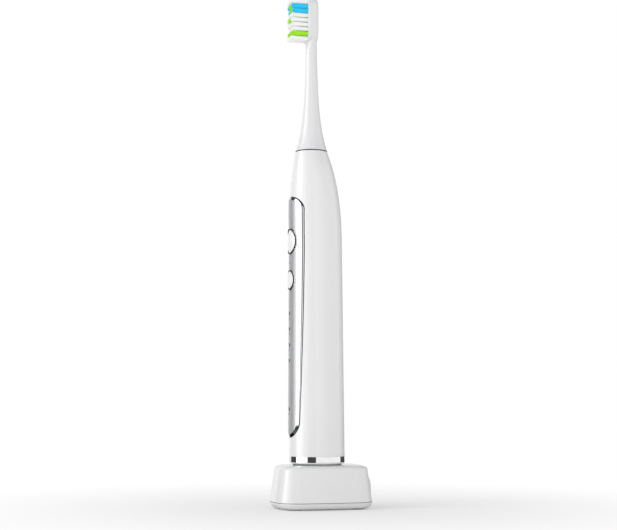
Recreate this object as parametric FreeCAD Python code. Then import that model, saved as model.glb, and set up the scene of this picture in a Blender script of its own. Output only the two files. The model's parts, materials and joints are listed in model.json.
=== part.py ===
import FreeCAD, Part
import math
import os

# An electric toothbrush standing on its inductive charging base. Millimetres, +Z up.
# The origin is the middle of the base's footprint, on the surface that the base stands on.
# The brush faces -Y. Its handle stands a little in front of the base's middle, and the
# neck and drive shaft stand further forward again, because the handle's back curves in.

Vec = FreeCAD.Vector

# ---------------------------------------------------------------- driving dimensions
# Charging base
base_half_length = 26.0         # along Y, at the seam
base_half_width = 18.5          # along X, at the seam
base_corner_r = 11.0
base_side_bow_r = 150.0         # the long sides bulge a little
base_end_bow_r = 45.0
base_wall_height = 16.55
base_draft = math.radians(8.0)
base_wall = 2.0
base_roof = 1.9
crown_height = 2.2              # the domed top, rim to seat
crown_run = 4.6                 # how far in from the rim the dome levels out
foot_proud = 0.6                # rubber feet below the base plate
foot_r = 3.4
foot_sunk = 0.5
foot_round = 0.3
plate_height = 3.0
plate_floor = 1.8
plate_edge_run = 3.2            # how far the plate's lower edge is rounded in
seam_gap = 0.25
lip_height = 2.0
lip_wall = 1.2
lip_clearance = 0.35
boss_r = 2.7
boss_pad = 0.6                  # pad on the plate round each boss
boss_x = 10.4
boss_y = 17.0
base_screw_r = 1.1
base_screw_head_r = 2.1
base_screw_head_h = 1.3
base_screw_length = 9.0
base_screw_drive_r = 0.84
base_screw_drive_h = 0.78
base_screw_spare = 1.0          # blind hole beyond the screw's end
cord_boss_r = 6.0
cord_boss_z = 10.2
cord_boss_gap = 0.3             # between the boss and the plate's lip
cord_boss_back = base_half_length - 0.3
gland_r = 3.3
gland_flange_r = 4.1
gland_flange_h = 0.8
gland_round = 0.35
gland_bore_r = 1.6
gland_length = 7.0
cord_boss_depth = 3.5           # inside the base's end wall

# Seat and charging peg
seat_r = 12.7
seat_width = 1.6
seat_depth = 0.6
seat_proud = 0.8
rest_gap = 0.05                 # handle above the seat ring
peg_half_length = 6.0           # along X
peg_half_width = 4.0            # along Y
peg_height = 8.4                # above the base's top
peg_clearance = 0.35
peg_edge_round = 0.8
peg_cap = 1.2                   # wall over the core
core_r = 2.8
core_sleeve_wall = 0.9

# Handle, outside form
handle_y = -2.0                 # the axis of its foot
handle_length = 163.8
handle_foot_r = 14.5
handle_taper = 0.0068           # radius lost per millimetre of height
handle_lean = 0.0044            # forward drift of the section centres per millimetre
shoulder_length = 52.3          # the upper stretch that draws in to the neck
shoulder_power = 3.0
lean_power = 1.7
neck_joint_r = 8.35
neck_offset = 3.08              # the neck's axis in front of the handle's
housing_wall = 1.6
neck_wall = 3.2                 # solid top of the housing, round the shaft seal
cap_flange = 0.7
foot_ring_height = 2.95
foot_ring_inset = 0.02

# Control panel on the front
panel_tip_above_foot = 13.55
panel_half_width = 9.92         # at its widest
panel_wide_above_tip = 106.0
panel_length = 125.7
panel_side_bow_r = 2800.0
panel_top_bow_r = 16.0
panel_corner_r = 7.0
panel_tip_r = 8.2
panel_proud = 0.65
panel_sunk = 0.5
trim_width = 1.4
trim_proud = 0.3
window_r = 1.0
window_sunk = 0.02

# Buttons: height above the panel's tip, and sizes
power_height = 102.3
mode_height = 82.0
power_ring_r = 7.15
mode_ring_r = 5.6
button_ring_width = 0.95
button_ring_proud = 0.12        # above the faceplate
button_gap = 0.1
button_well_gap = 0.4           # housing round each button's cap
button_dome = 0.75              # above the faceplate
button_dome_r_across = 10.0
button_dome_r_up = 27.0
press_travel = 0.4
plunger_gap = 0.01
actuator_gap = 0.02
plunger_r = 1.8

# Windows: heights above the panel's tip
window_heights = [14.6, 39.8, 47.9, 56.3, 64.4]

# Circuit board and switches behind the panel
board_front_gap = 1.55          # housing wall to board at the power button
board_thickness = 0.8
board_half_width = 5.7
board_length = 105.0
board_above_power = 8.2
switch_half = 2.0
lamp_half_width = 0.8
lamp_half_height = 0.5
switch_height = 0.75
actuator_r = 0.9
actuator_height = 0.25
membrane_thickness = 0.42       # more than the press, so a plunger never reaches its switch
led_height = 0.5
chip_start = 12.0               # lowest chip above the board's lower end
# Chips on the board's back: half width, height, start and end above the lowest chip
board_chips = [(2.5, 0.9, 0.0, 5.0), (1.6, 0.8, 9.0, 12.0), (2.0, 0.9, 16.0, 20.0), (1.0, 0.7, 24.0, 28.0)]
resistor_x = 4.2
resistor_half_width = 0.4
resistor_height = 0.4
resistor_length = 1.6
resistor_pitch = 3.2
resistor_shift = 1.0            # the right column stands this much higher
resistor_count = 6
seat_gap = 0.05                 # general slip clearance between fixed pieces
touch = 0.01                    # tolerance for finding edges at a plane
merge = 0.1                     # overlap between solids that become one
beyond = 1.0                    # how far a cutting tool runs past the surface it cuts
far = 60.0                      # half size of a block wider and deeper than the product

# Battery, carrier and charging coil in the handle
battery_r = 7.1
battery_length = 65.0
battery_floor = 24.0            # above the handle's bottom
battery_gap = 1.2               # board to battery
carrier_gap = 0.35
carrier_wall = 1.4
carrier_floor = 14.0            # above the handle's bottom
coil_inner_r = 8.0
spigot_wall = 1.5
spigot_height = 6.6             # inside the housing
seal_above_ring = 3.4
seal_ring_r = 0.5
seal_ring_bite = 0.04
spool_wall = 0.7
spool_end = 0.6                 # end flanges of a coil former
coil_short = 0.2                # a winding stays this far inside its former's flanges
cap_foot_round = 0.45
cap_inset = 0.15
cap_floor = 1.0

# Motor
motor_r = 6.9
motor_can_wall = 0.5
motor_length = 59.0
motor_below_neck = 10.3         # top of the motor to the neck joint
shaft_r = 2.0
shaft_rise = 16.0               # tip above the neck joint
shaft_in_motor = 33.0
shaft_clearance = 0.05
shaft_flat = 1.45               # flat face from the axis
flat_above_neck = 3.2
magnet_r = 4.0
magnet_gap = 0.35
magnet_length = 17.0
magnet_end = 0.5                # yoke longer than the magnets at each end
magnet_split = 0.8              # half the gap between the two magnets
yoke_r = 2.9
stator_rod_r = 2.2
stator_sleeve_r = 2.9
stator_web = 2.0
pole_half_gap = 2.4
pole_half_width = 4.0
bracket_half_width = 2.2
spring_half_width = 1.6
spring_half_thickness = 0.25
damper_thickness = 1.6
damper_inset = 0.4
shaft_chamfer = 0.3
front_wall = 1.0                # the can's front ring

# Brush head
neck_gap = 0.45
neck_r = 2.75
neck_fade = 17.0                # the skirt narrows towards the neck over this length
head_top_above_neck = 82.6
neck_spread_below = 7.0         # the neck spreads from this far below the plate's lower end
neck_spread_above = 5.0         # to this far above it
neck_side_inset = 0.7           # the neck's end inside the plate's sides
neck_face_inset = 0.15          # and inside its faces
ellipse_margin = 0.001          # keeps the ellipse's long axis along X
plate_length = 25.0
plate_half_width = 6.0
plate_thickness = 5.8
plate_front = 3.05              # in front of the neck's axis
plate_corner_r = 4.4
plate_side_bow_r = 70.0
plate_end_bow_r = 8.0
plate_front_round = 0.5
plate_back_round = 2.2
skirt_wall = 1.4
skirt_hollow = 6.5              # hollow of the skirt above the insert's lower end
insert_r = 3.5
insert_length = 16.5
insert_above_joint = 2.0
insert_end = 1.0                # closed end over the shaft
insert_lead = 2.5               # round bore below the flat
clip_height = 2.0
clip_outer_r = 2.7
clip_slip = 0.02
clip_above_insert = 7.0
clip_opening = 1.2              # flat side of the clip, from the shaft's axis
tuft_r = 1.05
tuft_depth = 2.6
tuft_slip = 0.02
anchor_half_width = 0.7
anchor_half_height = 0.13
anchor_deep = 0.5
tuft_columns = [-3.9, -1.3, 1.3, 3.9]
tuft_pitch = 2.45
tuft_first = 2.3                # first row above the plate's lower end
tuft_length = 8.9
tuft_wave = 0.45
tuft_end_inset = 0.55           # outer columns move in on the end rows
# Colours row by row from the bottom: w white, b blue, g green
tuft_rows = ["wwww", "gggg", "wwww", "wwww", "wggw", "wwww", "bggb", "bggb", "wwww"]

# ---------------------------------------------------------------- derived places
plate_bottom_z = foot_proud
plate_top_z = plate_bottom_z + plate_height
shell_bottom_z = plate_top_z + seam_gap
rim_z = shell_bottom_z + base_wall_height
crown_z = rim_z + crown_height
roof_z = rim_z - base_roof + crown_height / 2
rim_inset = base_wall_height * math.tan(base_draft)
handle_bottom_z = crown_z + seat_proud + rest_gap
ring_bottom_z = handle_bottom_z + cap_flange
housing_bottom_z = ring_bottom_z + foot_ring_height
handle_top_z = handle_bottom_z + handle_length
shoulder_z = handle_top_z - shoulder_length
neck_y = handle_y - neck_offset
head_bottom_z = handle_top_z + neck_gap
head_top_z = handle_top_z + head_top_above_neck + neck_gap
panel_tip_z = handle_bottom_z + panel_tip_above_foot
panel_top_z = panel_tip_z + panel_length
power_z = panel_tip_z + power_height
mode_z = panel_tip_z + mode_height


# ---------------------------------------------------------------- simple solids
def cylinder(radius, low, high, x=0.0, y=0.0):
    return Part.makeCylinder(radius, high - low, Vec(x, y, low))


def tube(outer, inner, low, high, x=0.0, y=0.0):
    return cylinder(outer, low, high, x, y).cut(cylinder(inner, low, high, x, y))


def rod_y(radius, front, back, x, z):
    """A cylinder along Y from the plane y=front to the plane y=back."""
    return Part.makeCylinder(radius, back - front, Vec(x, front, z), Vec(0, 1, 0))


def block(x0, x1, y0, y1, z0, z1):
    return Part.makeBox(x1 - x0, y1 - y0, z1 - z0, Vec(x0, y0, z0))


def slot_prism(half_length, half_width, low, high, y):
    """A prism with round ends along X."""
    reach = half_length - half_width
    body = block(-reach, reach, y - half_width, y + half_width, low, high)
    for side in (-1, 1):
        body = body.fuse(cylinder(half_width, low, high, side * reach, y))
    return body.removeSplitter()


def fuse_all(shapes):
    return shapes[0].multiFuse(shapes[1:]).removeSplitter()


def cut_all(shape, tools):
    return shape.cut(Part.makeCompound(tools))


def mirrored(points):
    """Each (x, y) of one quarter, repeated in all four."""
    return [(sx * x, sy * y) for x, y in points for sx in (-1, 1) for sy in (-1, 1)]


# ---------------------------------------------------------------- outlines made of arcs
def corner_centre(side_centre, side_r, end_centre, end_r, corner_r):
    """Centre of the corner circle that is tangent inside a side circle and an end circle."""
    ax, ay = side_centre
    bx, by = end_centre
    reach_a = side_r - corner_r
    reach_b = end_r - corner_r
    span = math.hypot(bx - ax, by - ay)
    along = (reach_a ** 2 - reach_b ** 2 + span ** 2) / (2 * span)
    across = math.sqrt(reach_a ** 2 - along ** 2)
    ux = (bx - ax) / span
    uy = (by - ay) / span
    choices = [(ax + along * ux - s * across * uy, ay + along * uy + s * across * ux) for s in (-1, 1)]
    return max(choices, key=lambda point: point[1])


def arc_wire(arcs, place):
    """A closed wire from (centre, radius, start angle, end angle) arcs laid by place(u, v)."""
    edges = []
    for (u, v), radius, start, end in arcs:
        points = []
        for angle in (start, (start + end) / 2, end):
            points.append(place(u + radius * math.cos(angle), v + radius * math.sin(angle)))
        edges.append(Part.Arc(*points).toShape())
    return Part.Wire(edges)


def bowed_rectangle(half_u, half_v, corner_r, bow_u, bow_v, inset, place):
    """Eight tangent arcs: two sides at u = +-half_u, two ends at v = +-half_v, four corners."""
    side_u = half_u - bow_u
    end_v = half_v - bow_v
    cu, cv = corner_centre((side_u, 0.0), bow_u, (0.0, end_v), bow_v, corner_r)
    a = math.atan2(cv, cu - side_u)
    b = math.atan2(cv - end_v, cu)
    pi = math.pi
    r = corner_r - inset
    arcs = [
        ((side_u, 0.0), bow_u - inset, -a, a),
        ((cu, cv), r, a, b),
        ((0.0, end_v), bow_v - inset, b, pi - b),
        ((-cu, cv), r, pi - b, pi - a),
        ((-side_u, 0.0), bow_u - inset, pi - a, pi + a),
        ((-cu, -cv), r, pi + a, pi + b),
        ((0.0, -end_v), bow_v - inset, pi + b, 2 * pi - b),
        ((cu, -cv), r, 2 * pi - b, 2 * pi - a),
    ]
    return arc_wire(arcs, place)


def base_outline(inset, z):
    return bowed_rectangle(base_half_width, base_half_length, base_corner_r,
                           base_side_bow_r, base_end_bow_r, inset, lambda u, v: Vec(u, v, z))


def panel_outline(offset, y):
    """The panel seen from the front, grown by offset, in the plane at y."""
    wide_z = panel_tip_z + panel_wide_above_tip
    side_u = panel_half_width - panel_side_bow_r
    top_v = panel_top_z - panel_top_bow_r
    tip_v = panel_tip_z + panel_tip_r
    cu, cv = corner_centre((side_u, wide_z), panel_side_bow_r, (0.0, top_v), panel_top_bow_r,
                           panel_corner_r)
    tip_reach = math.hypot(side_u, tip_v - wide_z)
    low = math.atan2(tip_v - wide_z, -side_u)
    high = math.atan2(cv - wide_z, cu - side_u)
    top = math.atan2(cv - top_v, cu)
    pi = math.pi
    side_r = panel_side_bow_r + offset
    tip_r = side_r - tip_reach
    arcs = [
        ((side_u, wide_z), side_r, low, high),
        ((cu, cv), panel_corner_r + offset, high, top),
        ((0.0, top_v), panel_top_bow_r + offset, top, pi - top),
        ((-cu, cv), panel_corner_r + offset, pi - top, pi - high),
        ((-side_u, wide_z), side_r, pi - high, pi - low),
        ((0.0, tip_v), tip_r, pi - low, 2 * pi + low),
    ]
    return arc_wire(arcs, lambda u, v: Vec(u, y, v))


# ---------------------------------------------------------------- handle form
def handle_r(z):
    straight = handle_foot_r - handle_taper * (min(z, shoulder_z) - handle_bottom_z)
    share = max(0.0, (z - shoulder_z) / shoulder_length)
    return straight - (straight - neck_joint_r) * share ** shoulder_power


def handle_cy(z):
    drift = handle_lean * (min(z, shoulder_z) - handle_bottom_z)
    share = max(0.0, (z - shoulder_z) / shoulder_length)
    return handle_y - drift - (neck_offset - drift) * share ** lean_power


def handle_section(z, offset):
    return Part.Wire(Part.makeCircle(handle_r(z) + offset, Vec(0, handle_cy(z), z)))


def handle_form(low, high, offset):
    """The handle's outside between two heights, grown by offset."""
    pieces = []
    if low < shoulder_z:
        top = min(high, shoulder_z)
        pieces.append(Part.makeLoft([handle_section(low, offset), handle_section(top, offset)], True, True))
    if high > shoulder_z:
        foot = max(low, shoulder_z)
        steps = max(3, round((high - foot) / 5.0))
        levels = [foot + (high - foot) * step / steps for step in range(steps + 1)]
        pieces.append(Part.makeLoft([handle_section(z, offset) for z in levels], True, False))
    return fuse_all(pieces) if len(pieces) > 1 else pieces[0]


panel_margin = 4.0              # skin made beyond the panel at each end
panel_low = panel_tip_z - panel_margin
panel_high = panel_top_z + panel_margin
front_reach = handle_y - handle_foot_r - 6.0
panel_prism_depth = 12.0


def panel_prism(offset):
    face = Part.Face(panel_outline(offset, front_reach))
    return face.extrude(Vec(0, panel_prism_depth, 0))


def panel_layer(inner, outer, offset):
    """The part of a skin between two offsets of the handle's form, inside the panel's outline."""
    skin = handle_form(panel_low, panel_high, outer).cut(handle_form(panel_low, panel_high, inner))
    return skin.common(panel_prism(offset))


# ---------------------------------------------------------------- charging base
def base_block(inset, low, high):
    """The drafted block of the base between two heights, shrunk by inset."""
    slope = math.tan(base_draft)
    lower = base_outline(inset + (low - shell_bottom_z) * slope, low)
    upper = base_outline(inset + (high - shell_bottom_z) * slope, high)
    return Part.makeLoft([lower, upper], True, True)


def base_crown():
    sections = []
    for step in range(5):
        turn = math.radians(22.5 * step)
        run = crown_run * (1 - math.cos(turn))
        sections.append(base_outline(rim_inset + run, rim_z + crown_height * math.sin(turn)))
    return Part.makeLoft(sections, True, False)


def make_base_shell():
    outer = fuse_all([base_block(0.0, shell_bottom_z, rim_z), base_crown()])
    hollow = base_block(base_wall, shell_bottom_z, roof_z)
    shell = outer.cut(hollow)
    bosses = []
    for x, y in mirrored([(boss_x, boss_y)]):
        bosses.append(cylinder(boss_r, plate_top_z + seat_gap, roof_z + merge, x, y))
    boss_low = shell_bottom_z
    rear = block(-cord_boss_r, cord_boss_r, boss_y, cord_boss_back, boss_low, cord_boss_z)
    rear = rear.fuse(rod_y(cord_boss_r, boss_y, cord_boss_back, 0, cord_boss_z))
    boss_front = base_half_length - 2 * base_wall - cord_boss_depth
    back_half = block(-far, far, boss_front, far, 0, far)
    peg_top = crown_z + peg_height
    peg = slot_prism(peg_half_length, peg_half_width, crown_z - base_roof, peg_top, handle_y)
    peg = peg.makeFillet(peg_edge_round, [e for e in peg.Edges if e.BoundBox.ZMin > peg_top - touch])
    shell = fuse_all([shell] + bosses + [rear.common(back_half), peg])
    end = base_half_length + beyond
    cuts = [cylinder(core_r + seat_gap, roof_z - beyond, peg_top - peg_cap, 0, handle_y),
            tube(seat_r + seat_gap, seat_r - seat_width, crown_z - seat_depth, crown_z + beyond,
                 0, handle_y),
            rod_y(gland_r, 0, end, 0, cord_boss_z),
            rod_y(gland_flange_r, base_half_length - gland_flange_h, end, 0, cord_boss_z)]
    for x, y in mirrored([(boss_x, boss_y)]):
        cuts.append(cylinder(base_screw_r, plate_top_z, plate_top_z + base_screw_length, x, y))
    return cut_all(shell, cuts)


def make_base_plate():
    sections = []
    for step in range(5):
        turn = math.radians(90 - 22.5 * step)
        inset = plate_edge_run * (1 - math.cos(turn))
        sections.append(base_outline(inset, plate_top_z - plate_height * math.sin(turn)))
    plate = Part.makeLoft(sections, True, False)
    tray = Part.Face(base_outline(base_wall + seat_gap + lip_wall, plate_bottom_z + plate_floor))
    tray = tray.extrude(Vec(0, 0, plate_height + lip_height))
    lip = Part.Face(base_outline(base_wall + 2 * seat_gap + lip_clearance, plate_top_z))
    lip = lip.extrude(Vec(0, 0, lip_height)).cut(tray)
    plate = fuse_all([plate.cut(tray), lip])
    pads = []
    cuts = []
    for x, y in mirrored([(boss_x, boss_y)]):
        pads.append(cylinder(boss_r + boss_pad, plate_bottom_z + beyond, plate_top_z, x, y))
        cuts.append(cylinder(foot_r, 0, plate_bottom_z + foot_sunk, x, y))
        cuts.append(cylinder(base_screw_r + seat_gap, 0, plate_top_z + lip_height + beyond, x, y))
        head_top = plate_bottom_z + foot_sunk + base_screw_head_h
        cuts.append(cylinder(base_screw_head_r + seat_gap, 0, head_top, x, y))
        cuts.append(cylinder(boss_r + 3 * seat_gap, plate_top_z, plate_top_z + lip_height + beyond, x, y))
    for x, y in mirrored([(board_post_x, board_post_y)]):
        pads.append(cylinder(board_post_r, plate_bottom_z + beyond, base_board_z, x, y))
    gap_x = cord_boss_r + cord_boss_gap
    cuts.append(block(-gap_x, gap_x, 0, far, plate_top_z, plate_top_z + far))
    return cut_all(fuse_all([plate] + pads), cuts)


def make_base_screws():
    screws = []
    for x, y in mirrored([(boss_x, boss_y)]):
        low = plate_bottom_z + foot_sunk
        head = cylinder(base_screw_head_r, low, low + base_screw_head_h, x, y)
        drive = cylinder(base_screw_drive_r, low, low + base_screw_drive_h, x, y)
        shank = cylinder(base_screw_r, low, plate_top_z + base_screw_length - base_screw_spare, x, y)
        screws.append(head.fuse(shank).cut(drive).removeSplitter())
    return Part.makeCompound(screws)


def make_rubber_feet():
    feet = []
    for x, y in mirrored([(boss_x, boss_y)]):
        foot = cylinder(foot_r - seat_gap, 0, plate_bottom_z + foot_sunk - seat_gap, x, y)
        feet.append(foot.makeFillet(foot_round, [e for e in foot.Edges if e.BoundBox.ZMax < touch]))
    return Part.makeCompound(feet)


def make_seat_ring():
    ring = tube(seat_r, seat_r - seat_width + seat_gap, crown_z - seat_depth, crown_z + seat_proud,
                0, handle_y)
    return ring


def make_cord_gland():
    back = base_half_length
    flange = rod_y(gland_flange_r - seat_gap, back - gland_flange_h, back, 0, cord_boss_z)
    flange = flange.makeFillet(gland_round, [e for e in flange.Edges if e.BoundBox.YMin > back - touch])
    body = rod_y(gland_r - seat_gap, back - gland_length, back - gland_flange_h / 2, 0, cord_boss_z)
    return body.fuse(flange).removeSplitter().cut(rod_y(gland_bore_r, 0, far, 0, cord_boss_z))


# Coil stack under the base's roof, from the roof down
spool_top_z = roof_z - seat_gap
spool_length = 8.4
spool_bottom_z = spool_top_z - spool_length
spool_flange = 0.8
spool_r = 9.5
core_foot_r = 9.0
base_coil_r = 8.9
core_below_peg = 1.4
base_core_flange = 1.4
base_board_room = 3.2           # between the core's foot and the board
base_board_z = spool_bottom_z - base_core_flange - base_board_room
base_board_half_x = 11.0
base_board_half_y = 13.0
base_board_thickness = 1.2
capacitor_r = 1.3
capacitor_height = 2.8
capacitor_x = 8.5
capacitor_y = 10.8
# Boxes on the base's board: x from, to, y from, to, height
base_chips_above = [(-4.5, 4.5, 9.4, 12.4, 2.4)]
base_chips_below = [(-3.0, 3.0, -2.5, 2.5, 1.2), (-9.0, -6.0, -3.0, 3.0, 1.0), (5.5, 9.5, -6.5, -4.5, 1.1)]
board_post_x = 8.0
board_post_y = 10.0
board_post_r = 1.3


def make_transmitter_core():
    low = spool_bottom_z - base_core_flange
    rod = cylinder(core_r, low, crown_z + peg_height - core_below_peg, 0, handle_y)
    foot = cylinder(core_foot_r, low, spool_bottom_z, 0, handle_y)
    return rod.fuse(foot).removeSplitter()


def make_transmitter_bobbin():
    sleeve_r = core_r + core_sleeve_wall
    sleeve = tube(sleeve_r, core_r + seat_gap, spool_bottom_z, spool_top_z, 0, handle_y)
    low = tube(spool_r, core_r + seat_gap, spool_bottom_z, spool_bottom_z + spool_flange, 0, handle_y)
    high = tube(spool_r, core_r + seat_gap, spool_top_z - spool_flange, spool_top_z, 0, handle_y)
    return fuse_all([sleeve, low, high])


def make_transmitter_coil():
    low = spool_bottom_z + spool_flange + seat_gap
    high = spool_top_z - spool_flange - seat_gap
    return tube(base_coil_r, core_r + core_sleeve_wall + seat_gap, low, high, 0, handle_y)


def make_base_circuit_board():
    return block(-base_board_half_x, base_board_half_x, -base_board_half_y, base_board_half_y,
                 base_board_z, base_board_z + base_board_thickness)


def make_base_board_components():
    top = base_board_z + base_board_thickness
    low = base_board_z
    pieces = []
    for side in (-1, 1):
        pieces.append(cylinder(capacitor_r, top, top + capacitor_height, side * capacitor_x, capacitor_y))
    for x0, x1, y0, y1, height in base_chips_above:
        pieces.append(block(x0, x1, y0, y1, top, top + height))
    for x0, x1, y0, y1, height in base_chips_below:
        pieces.append(block(x0, x1, y0, y1, low - height, low))
    return Part.makeCompound(pieces)


# ---------------------------------------------------------------- handle shell and panel
cavity_top_z = handle_top_z - neck_wall
seal_r = 4.2
seal_flange = 0.8
seal_flange_h = 1.6
seal_sunk = 0.3                 # below the housing's top
seal_lip_low_r = 3.4
seal_lip_high_r = 2.7
seal_lip_height = 1.4
board_back_y = handle_cy(power_z) - handle_r(power_z) + housing_wall + board_front_gap + board_thickness
board_front_y = board_back_y - board_thickness
board_top_z = power_z + board_above_power
board_bottom_z = board_top_z - board_length
buttons = [(power_z, power_ring_r), (mode_z, mode_ring_r)]


def cap_radius(ring_r):
    return ring_r - button_ring_width - button_gap


def window_zs():
    return [panel_tip_z + height for height in window_heights]


def make_handle_housing():
    shell = handle_form(housing_bottom_z, handle_top_z, 0.0)
    shell = shell.cut(handle_form(housing_bottom_z, cavity_top_z, -housing_wall))
    recess = panel_prism(0.0).cut(handle_form(panel_low, panel_high, -panel_sunk))
    cuts = [recess, cylinder(seal_r, cavity_top_z - beyond, handle_top_z + beyond, 0, neck_y)]
    for z, ring_r in buttons:
        cuts.append(rod_y(cap_radius(ring_r) + button_well_gap, front_reach, board_front_y, 0, z))
    for z in window_zs():
        cuts.append(rod_y(window_r + seat_gap, front_reach, board_front_y, 0, z))
    for cut in cuts:
        shell = shell.cut(cut)
    return shell


def make_faceplate():
    plate = panel_layer(-panel_sunk, panel_proud, -trim_width - seat_gap)
    for z, ring_r in buttons:
        plate = plate.cut(rod_y(ring_r + seat_gap, front_reach, handle_y, 0, z))
    for z in window_zs():
        plate = plate.cut(rod_y(window_r + seat_gap, front_reach, handle_y, 0, z))
    return plate


def make_faceplate_trim():
    return panel_layer(-panel_sunk, trim_proud, -seat_gap).cut(panel_prism(-trim_width))


def make_button_ring(z, ring_r):
    reach = ring_r + 2 * beyond
    skin = handle_form(z - reach, z + reach, panel_proud + button_ring_proud)
    skin = skin.cut(handle_form(z - reach, z + reach, -panel_sunk))
    bore = ring_r - button_ring_width
    ring = rod_y(ring_r, front_reach, handle_y, 0, z).cut(rod_y(bore, front_reach, handle_y, 0, z))
    return skin.common(ring)


membrane_back_y = board_front_y - switch_height - actuator_height - actuator_gap
membrane_front_y = membrane_back_y - membrane_thickness
cap_back_y = membrane_front_y - press_travel - seat_gap


def make_button(z, ring_r):
    """A domed cap with the plunger that reaches its membrane."""
    radius = cap_radius(ring_r)
    front = handle_cy(z) - handle_r(z) - panel_proud - button_dome
    axis_y = front + button_dome_r_across
    reach = radius + beyond
    rise = button_dome_r_up - math.sqrt(button_dome_r_up ** 2 - reach ** 2)
    low = Vec(0, front + rise, z - reach)
    high = Vec(0, front + rise, z + reach)
    dome = Part.Arc(low, Vec(0, front, z), high).toShape()
    ends = [Vec(0, axis_y, z + reach), Vec(0, axis_y, z - reach)]
    profile = Part.Wire([dome, Part.makeLine(high, ends[0]), Part.makeLine(ends[0], ends[1]),
                         Part.makeLine(ends[1], low)])
    barrel = Part.Face(profile).revolve(Vec(0, axis_y, z), Vec(0, 0, 1), 360)
    cap = rod_y(radius, front - beyond, cap_back_y, 0, z).common(barrel)
    plunger = rod_y(plunger_r, cap_back_y - merge, membrane_front_y - plunger_gap, 0, z)
    return cap.fuse(plunger).removeSplitter()


def make_button_membranes():
    discs = []
    for z, ring_r in buttons:
        discs.append(rod_y(cap_radius(ring_r), membrane_front_y, membrane_back_y, 0, z))
    return Part.makeCompound(discs)


def make_light_guides():
    guides = []
    for z in window_zs():
        front = handle_cy(z) - handle_r(z) - panel_proud + window_sunk
        guides.append(rod_y(window_r, front, board_front_y - led_height - seat_gap, 0, z))
    return Part.makeCompound(guides)


def make_circuit_board():
    return block(-board_half_width, board_half_width, board_front_y, board_back_y,
                 board_bottom_z, board_top_z)


def make_tact_switches():
    switches = []
    for z, ring_r in buttons:
        body = block(-switch_half, switch_half, board_front_y - switch_height, board_front_y,
                     z - switch_half, z + switch_half)
        knob_front = board_front_y - switch_height - actuator_height
        switches.append(body.fuse(rod_y(actuator_r, knob_front, board_front_y, 0, z)))
    return Part.makeCompound(switches)


def make_indicator_lamps():
    lamps = []
    for z in window_zs():
        lamps.append(block(-lamp_half_width, lamp_half_width, board_front_y - led_height, board_front_y,
                           z - lamp_half_height, z + lamp_half_height))
    return Part.makeCompound(lamps)


def make_board_components():
    """Chips on the board's back, in front of the battery, and small ones on its face."""
    low = board_bottom_z + chip_start
    chips = []
    for half_width, height, start, end in board_chips:
        chips.append(block(-half_width, half_width, board_back_y, board_back_y + height,
                           low + start, low + end))
    inner = resistor_x - resistor_half_width
    outer = resistor_x + resistor_half_width
    front = board_front_y - resistor_height
    for step in range(resistor_count):
        z = low + resistor_pitch * step
        chips.append(block(-outer, -inner, front, board_front_y, z, z + resistor_length))
        z += resistor_shift
        chips.append(block(inner, outer, front, board_front_y, z, z + resistor_length))
    return Part.makeCompound(chips)


# ---------------------------------------------------------------- handle foot
spigot_top_z = housing_bottom_z + spigot_height
spigot_r = handle_r(housing_bottom_z) - housing_wall - 2 * seat_gap
peg_well_z = crown_z + peg_height + peg_clearance
seal_z = housing_bottom_z + seal_above_ring


def make_foot_ring():
    ring = handle_form(ring_bottom_z, housing_bottom_z - seat_gap, -foot_ring_inset)
    return ring.cut(cylinder(spigot_r + seat_gap, ring_bottom_z, housing_bottom_z, 0, handle_y))


def make_bottom_cap():
    flange = cylinder(handle_foot_r - cap_inset, handle_bottom_z, ring_bottom_z - seat_gap, 0, handle_y)
    rim = [e for e in flange.Edges if e.BoundBox.ZMax < handle_bottom_z + touch]
    flange = flange.makeFillet(cap_foot_round, rim)
    spigot = cylinder(spigot_r, ring_bottom_z - seat_gap, spigot_top_z, 0, handle_y)
    room = tube(spigot_r - spigot_wall, coil_inner_r - seat_gap, ring_bottom_z + cap_floor,
                spigot_top_z + beyond, 0, handle_y)
    well = slot_prism(peg_half_length + peg_clearance, peg_half_width + peg_clearance,
                      handle_bottom_z, peg_well_z, handle_y)
    groove_r = spigot_r - 2 * seal_ring_r + seal_ring_bite / 2
    groove = tube(spigot_r + beyond, groove_r, seal_z - seal_ring_r - seat_gap,
                  seal_z + seal_ring_r + seat_gap, 0, handle_y)
    cap = fuse_all([flange, spigot])
    for cut in (room, well, groove):
        cap = cap.cut(cut)
    return cap


def make_bottom_seal():
    middle = spigot_r - seal_ring_r + seal_ring_bite
    return Part.makeTorus(middle, seal_ring_r, Vec(0, handle_y, seal_z))


receiver_low = ring_bottom_z + cap_floor + seat_gap
receiver_high = spigot_top_z - 2 * coil_short


def make_receiver_bobbin():
    outer = spigot_r - spigot_wall - coil_short
    sleeve = tube(coil_inner_r + spool_wall, coil_inner_r, receiver_low, receiver_high, 0, handle_y)
    low = tube(outer, coil_inner_r, receiver_low, receiver_low + spool_end, 0, handle_y)
    high = tube(outer, coil_inner_r, receiver_high - spool_end, receiver_high, 0, handle_y)
    return fuse_all([sleeve, low, high])


def make_receiver_coil():
    outer = spigot_r - spigot_wall - 2 * coil_short
    inset = spool_end + seat_gap
    return tube(outer, coil_inner_r + spool_wall + seat_gap, receiver_low + inset, receiver_high - inset,
                0, handle_y)


# ---------------------------------------------------------------- battery and carrier
battery_y = board_back_y + battery_gap + battery_r
battery_low = handle_bottom_z + battery_floor
battery_high = battery_low + battery_length
motor_high = handle_top_z - motor_below_neck
motor_low = motor_high - motor_length
carrier_low = handle_bottom_z + carrier_floor
carrier_high = motor_high - 10.0

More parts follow.
